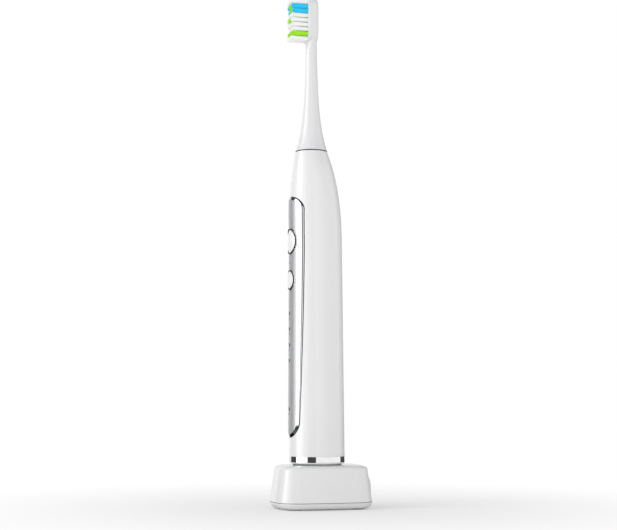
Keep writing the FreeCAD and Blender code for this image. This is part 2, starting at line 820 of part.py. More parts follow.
terminal_r = 2.6
terminal_height = 1.0
can_edge_round = 0.5
tab_half_width = 1.5
tab_thickness = 0.3
stop_gap = 0.4                  # each end stop from the cell's end, over the tab
stop_thickness = 4.0
rib_shares = (0.25, 0.5, 0.75)  # open ribs along the cell's length
rib_half = 0.9
motor_ribs = ((9.0, 11.0), (30.5, 32.5))    # above the motor's lower end
top_rib = 3.0
spine_front = handle_y + 4.0
rail_depth = 2.6
rail_inner_x = 4.9
leg_inner_x = 9.4
leg_outer_x = 11.6
leg_half_depth = 2.0
leg_below_cell = 2.0
cell_slip = 0.15
motor_slip = 0.1
tab_slot_half_width = 1.8
tab_slot_half_height = 0.5
wire_hole_r = 2.0
wire_hole_y = handle_y + 8.0


def make_battery_cell():
    top = battery_high - terminal_height
    can = cylinder(battery_r, battery_low, top, 0, battery_y)
    rims = [e for e in can.Edges if e.Length > 2 * math.pi * battery_r - touch]
    can = can.makeFillet(can_edge_round, rims)
    terminal = cylinder(terminal_r, top - can_edge_round, battery_high, 0, battery_y)
    return can.fuse(terminal).removeSplitter()


def make_battery_tabs():
    """A nickel strip at each end of the cell, reaching over to the board."""
    tabs = []
    for low in (battery_low - tab_thickness, battery_high):
        tabs.append(block(-tab_half_width, tab_half_width, board_back_y, battery_y, low, low + tab_thickness))
    return Part.makeCompound(tabs)


def carrier_end_stops():
    """Full cross walls at the two ends of the cell, as (low, high)."""
    reach = stop_gap + stop_thickness
    return [(battery_low - reach, battery_low - stop_gap), (battery_high + stop_gap, battery_high + reach)]


def carrier_ribs():
    """Open cross walls beside the cell and the motor, as (low, high)."""
    ribs = []
    for share in rib_shares:
        middle = battery_low + battery_length * share
        ribs.append((middle - rib_half, middle + rib_half))
    for low, high in motor_ribs:
        ribs.append((motor_low + low, motor_low + high))
    ribs.append((carrier_high - top_rib, carrier_high))
    return ribs


def make_carrier():
    """The inner frame: a curved spine, two rails for the board, and cross walls."""
    room = housing_wall + carrier_gap
    foot_z = spigot_top_z + seat_gap
    form = handle_form(foot_z, carrier_high, -room)
    hollow = handle_form(foot_z, carrier_high + beyond, -room - carrier_wall)
    pieces = [block(-far, far, spine_front, far, carrier_low, carrier_high).cut(hollow)]
    rail_back = board_back_y + rail_depth
    leg_front = handle_y - leg_half_depth
    leg_back = handle_y + leg_half_depth
    for side in (-1, 1):
        x0, x1 = sorted((side * rail_inner_x, side * far))
        pieces.append(block(x0, x1, board_back_y, rail_back, carrier_low, board_top_z))
        x0, x1 = sorted((side * leg_inner_x, side * leg_outer_x))
        pieces.append(block(x0, x1, leg_front, leg_back, foot_z, battery_low - leg_below_cell))
    for low, high in carrier_end_stops():
        pieces.append(block(-far, far, board_back_y, far, low, high))
    for low, high in carrier_ribs():
        pieces.append(block(-far, far, rail_back - stop_gap, far, low, high))
    carrier = fuse_all(pieces).common(form)
    cell_low = battery_low - stop_gap
    cell_high = battery_high + stop_gap
    cuts = [cylinder(battery_r + cell_slip, cell_low, cell_high, 0, battery_y),
            cylinder(motor_r + motor_slip, motor_low - motor_slip, carrier_high + beyond, 0, neck_y),
            cylinder(wire_hole_r, carrier_low - beyond, motor_low + motor_ribs[0][1] + beyond,
                     0, wire_hole_y)]
    for z in (battery_low, battery_high):
        cuts.append(block(-tab_slot_half_width, tab_slot_half_width, board_back_y, battery_y + beyond,
                          z - tab_slot_half_height, z + tab_slot_half_height))
    for x, z in board_screw_places():
        cuts.append(rod_y(board_screw_r, board_back_y, board_back_y + board_screw_grip, x, z))
    for cut in cuts:
        carrier = carrier.cut(cut)
    return carrier


board_screw_r = 0.6
board_screw_x = 3.8
board_screw_grip = 2.6
board_screw_head_r = 0.95
board_screw_head_h = 0.6
board_screw_spare = 0.2


def board_screw_places():
    places = []
    for low, high in carrier_end_stops():
        for x in (-board_screw_x, board_screw_x):
            places.append((x, (low + high) / 2))
    return places


def make_board_screws():
    screws = []
    for x, z in board_screw_places():
        head = rod_y(board_screw_head_r, board_front_y - board_screw_head_h, board_front_y, x, z)
        tip = board_back_y + board_screw_grip - board_screw_spare
        shank = rod_y(board_screw_r, board_front_y, tip, x, z)
        screws.append(head.fuse(shank).removeSplitter())
    return Part.makeCompound(screws)


def drilled_circuit_board():
    board = make_circuit_board()
    holes = [rod_y(board_screw_r, board_front_y, board_back_y, x, z) for x, z in board_screw_places()]
    return cut_all(board, holes)


# ---------------------------------------------------------------- motor
can_inner = motor_r - motor_can_wall
end_cap_h = 1.2
bearing_h = 3.0
bearing_r = 3.4
shaft_low = motor_high - shaft_in_motor
front_bearing_low = motor_high - front_wall - bearing_h
shaft_below_bearing = 1.5
magnet_above_bearing = 1.2
rear_bearing_low = shaft_low + shaft_below_bearing
magnet_low = rear_bearing_low + bearing_h + magnet_above_bearing
spring_length = 9.0
core_top_z = shaft_low - spring_length
motor_coil_inset = 0.5
pole_end = 1.0                  # pole arms above the magnets
coil_r = can_inner - motor_coil_inset


def make_motor_can():
    can = tube(motor_r, can_inner, motor_low, motor_high, 0, neck_y)
    front = tube(can_inner, bearing_r + seat_gap, motor_high - front_wall, motor_high, 0, neck_y)
    return fuse_all([can, front])


def make_motor_end_cap():
    return cylinder(can_inner - seat_gap, motor_low, motor_low + end_cap_h, 0, neck_y)


def make_stator_core():
    """A rod through the winding and two pole arms that reach up beside the magnets."""
    low = motor_low + end_cap_h + seat_gap
    rod = cylinder(stator_rod_r, low, core_top_z, 0, neck_y)
    web_low = core_top_z - stator_web
    web = cylinder(can_inner - seat_gap, web_low, core_top_z, 0, neck_y)
    arms_top = magnet_low + magnet_length + pole_end
    arms = tube(can_inner - seat_gap, magnet_r + magnet_gap, core_top_z - stator_web / 2, arms_top, 0, neck_y)
    front = neck_y - pole_half_width
    back = neck_y + pole_half_width
    sides = Part.makeCompound([block(-far, -pole_half_gap, front, back, web_low, arms_top),
                               block(pole_half_gap, far, front, back, web_low, arms_top)])
    return fuse_all([rod, web, arms.common(sides)])


def winding_span():
    return motor_low + end_cap_h + 2 * seat_gap, core_top_z - stator_web - seat_gap


def make_stator_bobbin():
    low, high = winding_span()
    bore = stator_rod_r + seat_gap
    outer = can_inner - coil_short
    sleeve = tube(stator_sleeve_r, bore, low, high, 0, neck_y)
    lower = tube(outer, bore, low, low + spool_end, 0, neck_y)
    upper = tube(outer, bore, high - spool_end, high, 0, neck_y)
    return fuse_all([sleeve, lower, upper])


def make_stator_coil():
    low, high = winding_span()
    inset = spool_end + seat_gap
    return tube(coil_r, stator_sleeve_r + seat_gap, low + inset, high - inset, 0, neck_y)


def make_bearing(low, outer):
    return tube(outer, shaft_r + shaft_clearance, low, low + bearing_h, 0, neck_y)


def make_bearing_bracket():
    """The plate between the pole arms that holds the lower bearing."""
    hole = bearing_r + seat_gap
    low = rear_bearing_low
    high = low + bearing_h
    disc = tube(magnet_r + magnet_gap - seat_gap, hole, low, high, 0, neck_y)
    ears = tube(can_inner - seat_gap, hole, low, high, 0, neck_y)
    front_back = block(-bracket_half_width, bracket_half_width, neck_y - far, neck_y + far, low, high)
    return fuse_all([disc, ears.common(front_back)])


def make_centering_spring():
    """A flat torsion leaf from the stator web to the shaft's lower end."""
    return block(-spring_half_width, spring_half_width, neck_y - spring_half_thickness,
                 neck_y + spring_half_thickness, core_top_z, shaft_low)


def make_motor_damper():
    return tube(motor_r - damper_inset, bearing_r + damper_inset, motor_high + seat_gap,
                motor_high + damper_thickness, 0, neck_y)


def make_drive_shaft():
    tip_z = handle_top_z + shaft_rise
    shaft = cylinder(shaft_r, shaft_low, tip_z, 0, neck_y)
    shaft = shaft.makeChamfer(shaft_chamfer, [e for e in shaft.Edges if e.BoundBox.ZMin > tip_z - touch])
    flat_low = handle_top_z + flat_above_neck
    flat = block(-far, far, neck_y + shaft_flat, neck_y + far, flat_low, tip_z + beyond)
    return shaft.cut(flat)


def make_rotor_yoke():
    return tube(yoke_r, shaft_r, magnet_low, magnet_low + magnet_length, 0, neck_y)


def make_rotor_magnets():
    low = magnet_low + magnet_end
    high = magnet_low + magnet_length - magnet_end
    split = block(-far, far, neck_y - magnet_split, neck_y + magnet_split, low - beyond, high + beyond)
    return tube(magnet_r, yoke_r, low, high, 0, neck_y).cut(split)


def make_shaft_seal():
    """A soft sleeve in the handle's neck with a raised lip round the shaft."""
    body = cylinder(seal_r - seat_gap, cavity_top_z - seal_flange_h / 2, handle_top_z - seal_sunk, 0, neck_y)
    flange = cylinder(seal_r + seal_flange, cavity_top_z - seal_flange_h, cavity_top_z - seat_gap, 0, neck_y)
    lip_low = handle_top_z - seal_sunk - merge
    lip = Part.makeCone(seal_lip_low_r, seal_lip_high_r, seal_lip_height, Vec(0, neck_y, lip_low))
    bore = cylinder(shaft_r + shaft_clearance, flange.BoundBox.ZMin - beyond, lip.BoundBox.ZMax + beyond,
                    0, neck_y)
    return fuse_all([body, flange, lip]).cut(bore)


# ---------------------------------------------------------------- brush head
plate_low_z = head_top_z - plate_length
plate_front_y = neck_y - plate_front
insert_low = handle_top_z + insert_above_joint
insert_high = insert_low + insert_length


def skirt_r(z):
    return neck_r + (neck_joint_r - neck_r) * math.exp(-(z - head_bottom_z) / neck_fade)


def neck_section(z, offset):
    """The neck's outline at a height: round, then spreading into the flat head plate."""
    low = plate_low_z - neck_spread_below
    share = min(1.0, max(0.0, (z - low) / (neck_spread_below + neck_spread_above)))
    ease = share * share * (3 - 2 * share)
    round_r = skirt_r(z)
    wide = round_r + (plate_half_width - neck_side_inset - round_r) * ease
    deep = round_r + (plate_thickness / 2 - neck_face_inset - round_r) * ease
    middle = neck_y + (plate_thickness / 2 - plate_front) * ease
    ellipse = Part.Ellipse(Vec(0, middle, z), wide + offset + ellipse_margin, deep + offset)
    return Part.Wire(ellipse.toShape())


def neck_form(low, high, offset):
    """The flared skirt and the neck above it, grown by offset."""
    steps = max(3, round((high - low) / 4.0))
    levels = [low + (high - low) * step / steps for step in range(steps + 1)]
    return Part.makeLoft([neck_section(z, offset) for z in levels], True, False)


def head_plate():
    middle_z = (plate_low_z + head_top_z) / 2
    outline = bowed_rectangle(plate_half_width, plate_length / 2, plate_corner_r, plate_side_bow_r,
                              plate_end_bow_r, 0.0, lambda u, v: Vec(u, plate_front_y, middle_z + v))
    plate = Part.Face(outline).extrude(Vec(0, plate_thickness, 0))
    back_y = plate_front_y + plate_thickness
    plate = plate.makeFillet(plate_back_round, [e for e in plate.Edges if e.BoundBox.YMin > back_y - touch])
    front_edges = [e for e in plate.Edges if e.BoundBox.YMax < plate_front_y + touch]
    return plate.makeFillet(plate_front_round, front_edges)


def tufts():
    """(colour, x, z, tip y) of each tuft."""
    places = []
    middle = plate_low_z + tuft_first + tuft_pitch * (len(tuft_rows) - 1) / 2
    wave_length = tuft_pitch * (len(tuft_rows) - 1) / 2
    for row, colours in enumerate(tuft_rows):
        z = plate_low_z + tuft_first + tuft_pitch * row
        tip = plate_front_y - tuft_length - tuft_wave * math.cos(2 * math.pi * (z - middle) / wave_length)
        end_row = row in (0, len(tuft_rows) - 1)
        for x, colour in zip(tuft_columns, colours):
            if end_row and abs(x) > tuft_pitch:
                x -= math.copysign(tuft_end_inset, x)
            places.append((colour, x, z, tip))
    return places


def make_head_body():
    neck = neck_form(head_bottom_z, plate_low_z + neck_spread_above, 0.0)
    body = fuse_all([neck, head_plate()])
    hollow = neck_form(head_bottom_z, insert_low + skirt_hollow, -skirt_wall)
    cuts = [hollow, cylinder(insert_r, insert_low, insert_high + seat_gap, 0, neck_y)]
    for colour, x, z, tip in tufts():
        cuts.append(rod_y(tuft_r + tuft_slip, plate_front_y - beyond, plate_front_y + tuft_depth, x, z))
    for cut in cuts:
        body = body.cut(cut)
    return body


def make_tufts(colour_wanted):
    rods = []
    for colour, x, z, tip in tufts():
        if colour == colour_wanted:
            rods.append(rod_y(tuft_r, tip, plate_front_y + tuft_depth - anchor_deep, x, z))
    return Part.makeCompound(rods)


def make_tuft_anchors():
    anchors = []
    for colour, x, z, tip in tufts():
        deep = plate_front_y + tuft_depth
        anchors.append(block(x - anchor_half_width, x + anchor_half_width, deep - anchor_deep + tuft_slip,
                             deep - tuft_slip, z - anchor_half_height, z + anchor_half_height))
    return Part.makeCompound(anchors)


def make_coupling_insert():
    sleeve = cylinder(insert_r, insert_low, insert_high, 0, neck_y)
    bore = cylinder(shaft_r + shaft_clearance, insert_low - beyond, insert_high - insert_end, 0, neck_y)
    flat = block(-far, far, neck_y + shaft_flat + shaft_clearance, neck_y + far,
                 insert_low + insert_lead, insert_high)
    bore = bore.cut(flat)
    slot = tube(clip_outer_r, shaft_r, clip_low - seat_gap, clip_low + clip_height + seat_gap, 0, neck_y)
    return sleeve.cut(bore).cut(slot.cut(flat))


clip_low = insert_low + clip_above_insert


def make_retaining_clip():
    """An open spring ring in the insert, round the shaft."""
    high = clip_low + clip_height
    ring = tube(clip_outer_r - clip_slip, shaft_r + shaft_clearance, clip_low, high, 0, neck_y)
    return ring.cut(block(-far, far, neck_y + clip_opening, neck_y + far, clip_low - beyond, high + beyond))


# ---------------------------------------------------------------- all nodes
parts = {
    "base_shell": make_base_shell(),
    "base_plate": make_base_plate(),
    "base_screws": make_base_screws(),
    "rubber_feet": make_rubber_feet(),
    "seat_ring": make_seat_ring(),
    "cord_gland": make_cord_gland(),
    "transmitter_core": make_transmitter_core(),
    "transmitter_bobbin": make_transmitter_bobbin(),
    "transmitter_coil": make_transmitter_coil(),
    "base_circuit_board": make_base_circuit_board(),
    "base_board_components": make_base_board_components(),
    "handle_housing": make_handle_housing(),
    "faceplate": make_faceplate(),
    "faceplate_trim": make_faceplate_trim(),
    "power_button_ring": make_button_ring(*buttons[0]),
    "mode_button_ring": make_button_ring(*buttons[1]),
    "power_button": make_button(*buttons[0]),
    "mode_button": make_button(*buttons[1]),
    "button_membranes": make_button_membranes(),
    "light_guides": make_light_guides(),
    "circuit_board": drilled_circuit_board(),
    "board_components": make_board_components(),
    "board_screws": make_board_screws(),
    "tact_switches": make_tact_switches(),
    "indicator_lamps": make_indicator_lamps(),
    "foot_ring": make_foot_ring(),
    "bottom_cap": make_bottom_cap(),
    "bottom_seal": make_bottom_seal(),
    "receiver_bobbin": make_receiver_bobbin(),
    "receiver_coil": make_receiver_coil(),
    "inner_carrier": make_carrier(),
    "battery_cell": make_battery_cell(),
    "battery_tabs": make_battery_tabs(),
    "motor_can": make_motor_can(),
    "motor_end_cap": make_motor_end_cap(),
    "motor_damper": make_motor_damper(),
    "stator_core": make_stator_core(),
    "stator_bobbin": make_stator_bobbin(),
    "stator_coil": make_stator_coil(),
    "upper_bearing": make_bearing(front_bearing_low, bearing_r),
    "lower_bearing": make_bearing(rear_bearing_low, bearing_r),
    "bearing_bracket": make_bearing_bracket(),
    "centering_spring": make_centering_spring(),
    "shaft_seal": make_shaft_seal(),
    "drive_shaft": make_drive_shaft(),
    "rotor_yoke": make_rotor_yoke(),
    "rotor_magnets": make_rotor_magnets(),
    "head_body": make_head_body(),
    "coupling_insert": make_coupling_insert(),
    "retaining_clip": make_retaining_clip(),
    "white_bristles": make_tufts("w"),
    "blue_bristles": make_tufts("b"),
    "green_bristles": make_tufts("g"),
    "tuft_anchors": make_tuft_anchors(),
}

os.makedirs("parts", exist_ok=True)
for name, shape in parts.items():
    shape.exportStep("parts/" + name + ".step")
    print(name, "solids", len(shape.Solids), "volume", round(shape.Volume, 1), "valid", shape.isValid())
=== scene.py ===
"""Electric toothbrush standing on its charging base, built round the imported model."""

import json
import math
import random

import bmesh
import bpy
from bpy.props import FloatProperty, FloatVectorProperty, IntProperty, PointerProperty
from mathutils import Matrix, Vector
from mathutils.geometry import delaunay_2d_cdt


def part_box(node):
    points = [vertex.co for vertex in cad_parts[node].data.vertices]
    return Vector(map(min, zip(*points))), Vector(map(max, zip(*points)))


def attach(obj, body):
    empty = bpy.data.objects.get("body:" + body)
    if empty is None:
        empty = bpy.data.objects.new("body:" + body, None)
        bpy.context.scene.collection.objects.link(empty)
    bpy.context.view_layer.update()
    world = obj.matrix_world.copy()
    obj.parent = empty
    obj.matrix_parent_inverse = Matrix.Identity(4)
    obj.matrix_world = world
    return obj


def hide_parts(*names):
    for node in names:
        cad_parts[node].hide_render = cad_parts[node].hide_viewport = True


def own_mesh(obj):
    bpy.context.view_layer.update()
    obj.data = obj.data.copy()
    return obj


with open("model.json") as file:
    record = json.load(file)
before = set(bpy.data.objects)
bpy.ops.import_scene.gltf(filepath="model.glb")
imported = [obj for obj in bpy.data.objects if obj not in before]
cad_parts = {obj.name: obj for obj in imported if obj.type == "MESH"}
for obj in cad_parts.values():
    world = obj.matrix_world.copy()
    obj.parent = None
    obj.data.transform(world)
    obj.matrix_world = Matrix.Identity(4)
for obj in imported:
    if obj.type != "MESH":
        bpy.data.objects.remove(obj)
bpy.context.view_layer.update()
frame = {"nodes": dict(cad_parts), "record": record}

bl_info = {
    "name": "Toothbrush on Charging Base",
    "version": (1, 0, 0),
    "blender": (4, 5, 0),
    "location": "View3D > Sidebar > Toothbrush",
    "description": "Builds the visible pieces of an electric toothbrush on its charging base",
    "category": "Add Mesh",
}

MM = 0.001
SLIP = 0.05 * MM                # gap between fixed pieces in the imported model
TURN = 2 * math.pi

boxes = {node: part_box(node) for node in frame["nodes"]}


def lowest(node):
    return boxes[node][0]


def highest(node):
    return boxes[node][1]


def middle_z(node):
    return (lowest(node).z + highest(node).z) / 2


def length(name, text, value):
    """A length, given in millimetres."""
    return FloatProperty(name=name, description=text, default=value * MM, min=0.0, unit="LENGTH",
                         precision=5)


def factor(name, text, value):
    return FloatProperty(name=name, description=text, default=value, min=0.0, precision=4)


def colour(name, text, value):
    return FloatVectorProperty(name=name, description=text, default=value, size=3,
                               min=0.0, max=1.0, subtype="COLOR")


# ------------------------------------------------------------------ sizes and colours
class HandleSizes(bpy.types.PropertyGroup):
    foot_r: length("Foot radius", "Radius of the handle at its foot", 14.5)
    taper: factor("Taper", "Radius lost per unit of height below the shoulder", 0.0068)
    lean: factor("Lean", "Forward drift of the sections per unit of height", 0.0044)
    axis_y: FloatProperty(name="Foot axis", description="Where the foot's axis stands, front to back",
                          default=-2.0 * MM, unit="LENGTH", precision=5)
    shoulder: length("Shoulder length", "Upper stretch that draws in to the neck", 52.3)
    shoulder_power: factor("Shoulder power", "How late the shoulder draws in", 3.0)
    lean_power: factor("Lean power", "How late the shoulder moves forward", 1.7)
    neck_r: length("Neck radius", "Radius where the brush head meets the handle", 8.35)
    neck_offset: length("Neck offset", "The neck's axis in front of the foot's", 3.08)


class PanelSizes(bpy.types.PropertyGroup):
    half_width: length("Half width", "Half of the panel's greatest width", 9.92)
    widest: length("Widest height", "Height of the greatest width above the tip", 106.0)
    side_r: length("Side bow", "Radius of the long sides", 2800.0)
    top_r: length("Top bow", "Radius of the top arch", 16.0)
    corner_r: length("Corner radius", "Radius of the top corners", 7.0)
    tip_r: length("Tip rise", "Height of the tip circle's centre above the tip", 8.2)
    proud: length("Proud", "How far the faceplate stands off the housing", 0.65)
    sunk: length("Sunk", "How deep the faceplate is let into the housing", 0.5)
    trim_width: length("Trim width", "Width of the bright bevelled trim", 1.4)
    trim_edge: length("Trim edge", "Height of the trim's outer edge above the housing", 0.42)
    trim_fall: length("Trim fall", "How much lower that edge lies at the tip", 0.3)
    trim_fade: length("Trim fade", "Height over which the edge falls towards the tip", 16.0)
    # The dark line round the trim is painted shadow of the groove at the trim's edge.
    line_width: length("Line width", "Width of the dark line round the trim", 0.3)
    edge: length("Edge rounding", "Rounding of the faceplate's edges", 0.14)
    window_r: length("Window radius", "Radius of an indicator window", 1.0)


class ButtonSizes(bpy.types.PropertyGroup):
    ring_width: length("Ring width", "Width of the bright ring round a button", 0.95)
    ring_proud: length("Ring proud", "Ring above the faceplate", 0.12)
    # The dark lip round each cap is painted shade of the slit between cap and ring.
    lip_width: length("Lip width", "Width of the dark lip inside the ring", 0.5)
    lip_rise: length("Lip rise", "How far that lip stands above the ring", 0.3)
    gap: length("Gap", "Slit between the cap and its ring", 0.1)
    dome: length("Dome", "Middle of the cap above the faceplate", 0.75)
    dome_across: length("Dome radius across", "Curvature of the cap from side to side", 10.0)
    dome_up: length("Dome radius up", "Curvature of the cap up and down", 27.0)
    plunger_r: length("Plunger radius", "Radius of the plunger behind the cap", 1.8)
    plunger_length: length("Plunger length", "Length of that plunger", 0.5)


class BaseSizes(bpy.types.PropertyGroup):
    side_bow_r: length("Side bow", "Radius of the long sides in plan", 150.0)
    end_bow_r: length("End bow", "Radius of the ends in plan", 45.0)
    corner_r: length("Corner radius", "Radius of the corners in plan", 11.0)


class HeadSizes(bpy.types.PropertyGroup):
    tuft_r: length("Tuft radius", "Radius of a tuft", 1.05)
    tuft_sunk: length("Tuft depth", "How deep the tufts are set", 2.1)
    fibre_r: length("Fibre radius", "Radius of one fibre", 0.1)
    fibre_pitch: length("Fibre pitch", "Distance between the fibres of a tuft", 0.225)
    core_short: length("Core short", "How far the packed inside stops short of the fibres' ends", 0.35)
    splay: factor("Splay", "How far the fibres' ends spread", 0.2)
    splay_power: FloatProperty(name="Splay power", description="How late along a fibre it spreads", default=0.6)
    scatter: length("Scatter", "How far a fibre's end strays sideways", 0.05)
    uneven: length("Uneven", "How much shorter the shortest fibre is", 0.16)
    row_pitch: length("Row pitch", "Distance between rows of tufts", 2.45)
    first_row: length("First row", "First row above the plate's lower end", 2.3)
    plate_length: length("Plate length", "Length of the head plate", 25.0)
    bristle_length: length("Bristle length", "Mean length of the bristles", 8.9)
    wave: length("Wave", "Height of the wave along the tips", 0.45)
    end_inset: length("End inset", "Outer tufts move in on the end rows", 0.55)
    seed: IntProperty(name="Seed", description="Seed of the fibres' small differences", default=7, min=0)


class FinishColours(bpy.types.PropertyGroup):
    shell: colour("Shell", "Gloss white mouldings", (0.83, 0.83, 0.835))
    panel: colour("Panel", "Pearl faceplate", (0.60, 0.605, 0.615))
    button: colour("Button", "Button caps", (0.84, 0.84, 0.845))
    trim: colour("Trim", "Bright plated trim", (0.9, 0.9, 0.91))
    # Near-black, used for real seals and for the strips that paint shade into the joints, the slits round the
    # buttons and the groove round the trim.
    line: colour("Line", "Dark seals and joint lines", (0.03, 0.03, 0.032))
    head: colour("Head", "Brush head moulding", (0.79, 0.79, 0.80))
    blue: colour("Blue bristles", "Blue tufts", (0.0, 0.58, 1.0))
    green: colour("Green bristles", "Green tufts", (0.36, 0.80, 0.0))
    white: colour("White bristles", "White tufts", (0.97, 0.97, 0.97))
    mark: colour("Marks", "Printed marks on the faceplate", (0.17, 0.175, 0.19))


class StudioSizes(bpy.types.PropertyGroup):
    lens: FloatProperty(name="Lens", description="Focal length", default=89.15, min=1.0)
    camera: FloatVectorProperty(name="Camera", description="Where the camera stands", size=3,
                                default=(0.7696, -0.2346, 0.05975), subtype="XYZ", unit="LENGTH")
    look: FloatVectorProperty(name="Look", description="Level direction of view", size=3,
                              default=(-0.9588, 0.2840, 0.0), subtype="DIRECTION")
    pitch: FloatProperty(name="Pitch", description="Upward tilt of the camera",
                         default=math.radians(4.8), subtype="ANGLE")
    fill: factor("Fill", "Brightness of the soft light all round", 0.98)
    key: FloatProperty(name="Key", description="Power of the large soft light", default=2.0, min=0.0,
                       unit="POWER")


# ------------------------------------------------------------------ forms
def along_handle(z):
    """The handle's sizes, the height gained below the shoulder, the share of the shoulder passed."""
    h = bpy.context.scene.toothbrush_handle
    shoulder = highest("handle_housing").z - h.shoulder
    return h, min(z, shoulder) - lowest("bottom_cap").z, max(0.0, (z - shoulder) / h.shoulder)


def handle_radius(z):
    h, gained, share = along_handle(z)
    straight = h.foot_r - h.taper * gained
    return straight - (straight - h.neck_r) * share ** h.shoulder_power


def handle_middle(z):
    h, gained, share = along_handle(z)
    drift = h.lean * gained
    return h.axis_y - drift - (h.neck_offset - drift) * share ** h.lean_power


def on_handle(x, z, proud):
    """The point of the handle's front at x and z, standing proud of the housing."""
    reach = handle_radius(z) + proud
    return Vector((x, handle_middle(z) - math.sqrt(max(reach * reach - x * x, 0.0)), z))


def laid_on(outline, proud):
    """The points of an outline, (x, z), laid on the handle's form."""
    return [on_handle(x, z, proud) for x, z in outline]


def arc_points(centre, radius, start, end, count):
    turns = [start + (end - start) * step / count for step in range(count)]
    return [(centre[0] + radius * math.cos(turn), centre[1] + radius * math.sin(turn)) for turn in turns]


def circle(radius, z, count, x=0.0, y=0.0):
    """A level ring."""
    return [Vector((u, v, z)) for u, v in arc_points((x, y), radius, 0.0, TURN, count)]


def upright(radius, y, count, x, z):
    """A ring that faces the front."""
    return [Vector((u, y, v)) for u, v in arc_points((x, z), radius, 0.0, TURN, count)]


def corner_centre(side, side_r, end, end_r, corner_r):
    """Centre of the circle that touches a side arc and an end arc from inside."""
    side_reach = side_r - corner_r
    end_reach = end_r - corner_r
    apart = math.hypot(end[0] - side[0], end[1] - side[1])
    along = (side_reach ** 2 - end_reach ** 2 + apart ** 2) / (2 * apart)
    across = math.sqrt(side_reach ** 2 - along ** 2)
    ux = (end[0] - side[0]) / apart
    uy = (end[1] - side[1]) / apart
    choices = [(side[0] + along * ux - way * across * uy, side[1] + along * uy + way * across * ux)
               for way in (-1, 1)]
    return max(choices, key=lambda point: point[1])


def panel_tip():
    return lowest("faceplate_trim").z - SLIP


def panel_outline(grown):
    """The panel's outline seen from the front, as (x, z) points, grown by a distance."""
    p = bpy.context.scene.toothbrush_panel
    tip = panel_tip()
    top = highest("faceplate_trim").z + SLIP
    wide = tip + p.widest
    side_u = p.half_width - p.side_r
    top_v = top - p.top_r
    tip_v = tip + p.tip_r
    cu, cv = corner_centre((side_u, wide), p.side_r, (0.0, top_v), p.top_r, p.corner_r)
    tip_reach = math.hypot(side_u, tip_v - wide)
    low = math.atan2(tip_v - wide, -side_u)
    high = math.atan2(cv - wide, cu - side_u)
    over = math.atan2(cv - top_v, cu)
    half_turn = math.pi
    side_r = p.side_r + grown
    points = arc_points((side_u, wide), side_r, low, high, 110)
    points += arc_points((cu, cv), p.corner_r + grown, high, over, 24)
    points += arc_points((0.0, top_v), p.top_r + grown, over, half_turn - over, 20)
    points += arc_points((-cu, cv), p.corner_r + grown, half_turn - over, half_turn - high, 24)
    points += arc_points((-side_u, wide), side_r, half_turn - high, half_turn - low, 110)
    points += arc_points((0.0, tip_v), side_r - tip_reach, half_turn - low, 2 * half_turn + low, 64)
    return points


# ------------------------------------------------------------------ mesh tools
SOFT_CREASE = 50.0              # degrees between faces that still shade as one surface
ROUND_CREASE = 60.0
FIBRE_CREASE = 80.0


def loft(rings, closed=False):
    """Quads between rings that have the same number of points."""
    count = len(rings[0])
    points = [point for ring in rings for point in ring]
    faces = []
    spans = len(rings) if closed else len(rings) - 1
    for span in range(spans):
        a = span * count
        b = ((span + 1) % len(rings)) * count
        for step in range(count):
            after = (step + 1) % count
            faces.append((a + step, a + after, b + after, b + step))
    return points, faces


def joined(*bodies):
    points = []
    faces = []
    for body_points, body_faces in bodies:
        start = len(points)
        points += body_points
        faces += [tuple(start + index for index in face) for face in body_faces]
    return points, faces


def lid(ring, centre):
    """Triangles from a ring to a middle point."""
    count = len(ring)
    return list(ring) + [centre], [(step, (step + 1) % count, count) for step in range(count)]


def capped(rings, first, last):
    """A loft closed at both ends, each by triangles to a middle point."""
    return joined(loft(rings), lid(rings[0], first), lid(rings[-1], last))


def make_piece(name, body_mesh, finish, body, stands_for=(), crease=38.0):
    """A named object with welded points, smooth faces and crisp edges."""
    points, faces = body_mesh
    mesh = bpy.data.meshes.new(name)
    mesh.from_pydata([tuple(point) for point in points], [], faces)
    bm = bmesh.new()
    bm.from_mesh(mesh)
    bmesh.ops.remove_doubles(bm, verts=bm.verts, dist=1e-7)
    bmesh.ops.dissolve_degenerate(bm, edges=bm.edges, dist=1e-8)
    bmesh.ops.recalc_face_normals(bm, faces=bm.faces)
    limit = math.radians(crease)
    for face in bm.faces:
        face.smooth = True
    for edge in bm.edges:
        edge.smooth = len(edge.link_faces) == 2 and edge.calc_face_angle(0.0) < limit
    bm.to_mesh(mesh)
    bm.free()
    piece = bpy.data.objects.new(name, mesh)
    bpy.context.scene.collection.objects.link(piece)
    mesh.materials.append(finish_for(finish))
    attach(piece, body)
    if stands_for:
        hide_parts(*stands_for)
    return piece


def true_front_normals(piece, proud):
    """Shade the points that lie on the handle's form by that form, whatever the triangles are."""
    normals = []
    for vertex in piece.data.vertices:
        spot = vertex.co
        if (spot - on_handle(spot.x, spot.z, proud)).length > 0.003 * MM:
            normals.append((0.0, 0.0, 0.0))
            continue
        step = 0.5 * MM
        above = on_handle(spot.x, spot.z + step, proud)
        below = on_handle(spot.x, spot.z - step, proud)
        slope = (above.y - below.y) / (2 * step)
        out = Vector((spot.x, spot.y - handle_middle(spot.z), 0.0)).normalized()
        out.z = -out.y * slope
        normals.append(tuple(out.normalized()))
    piece.data.normals_split_custom_set_from_vertices(normals)


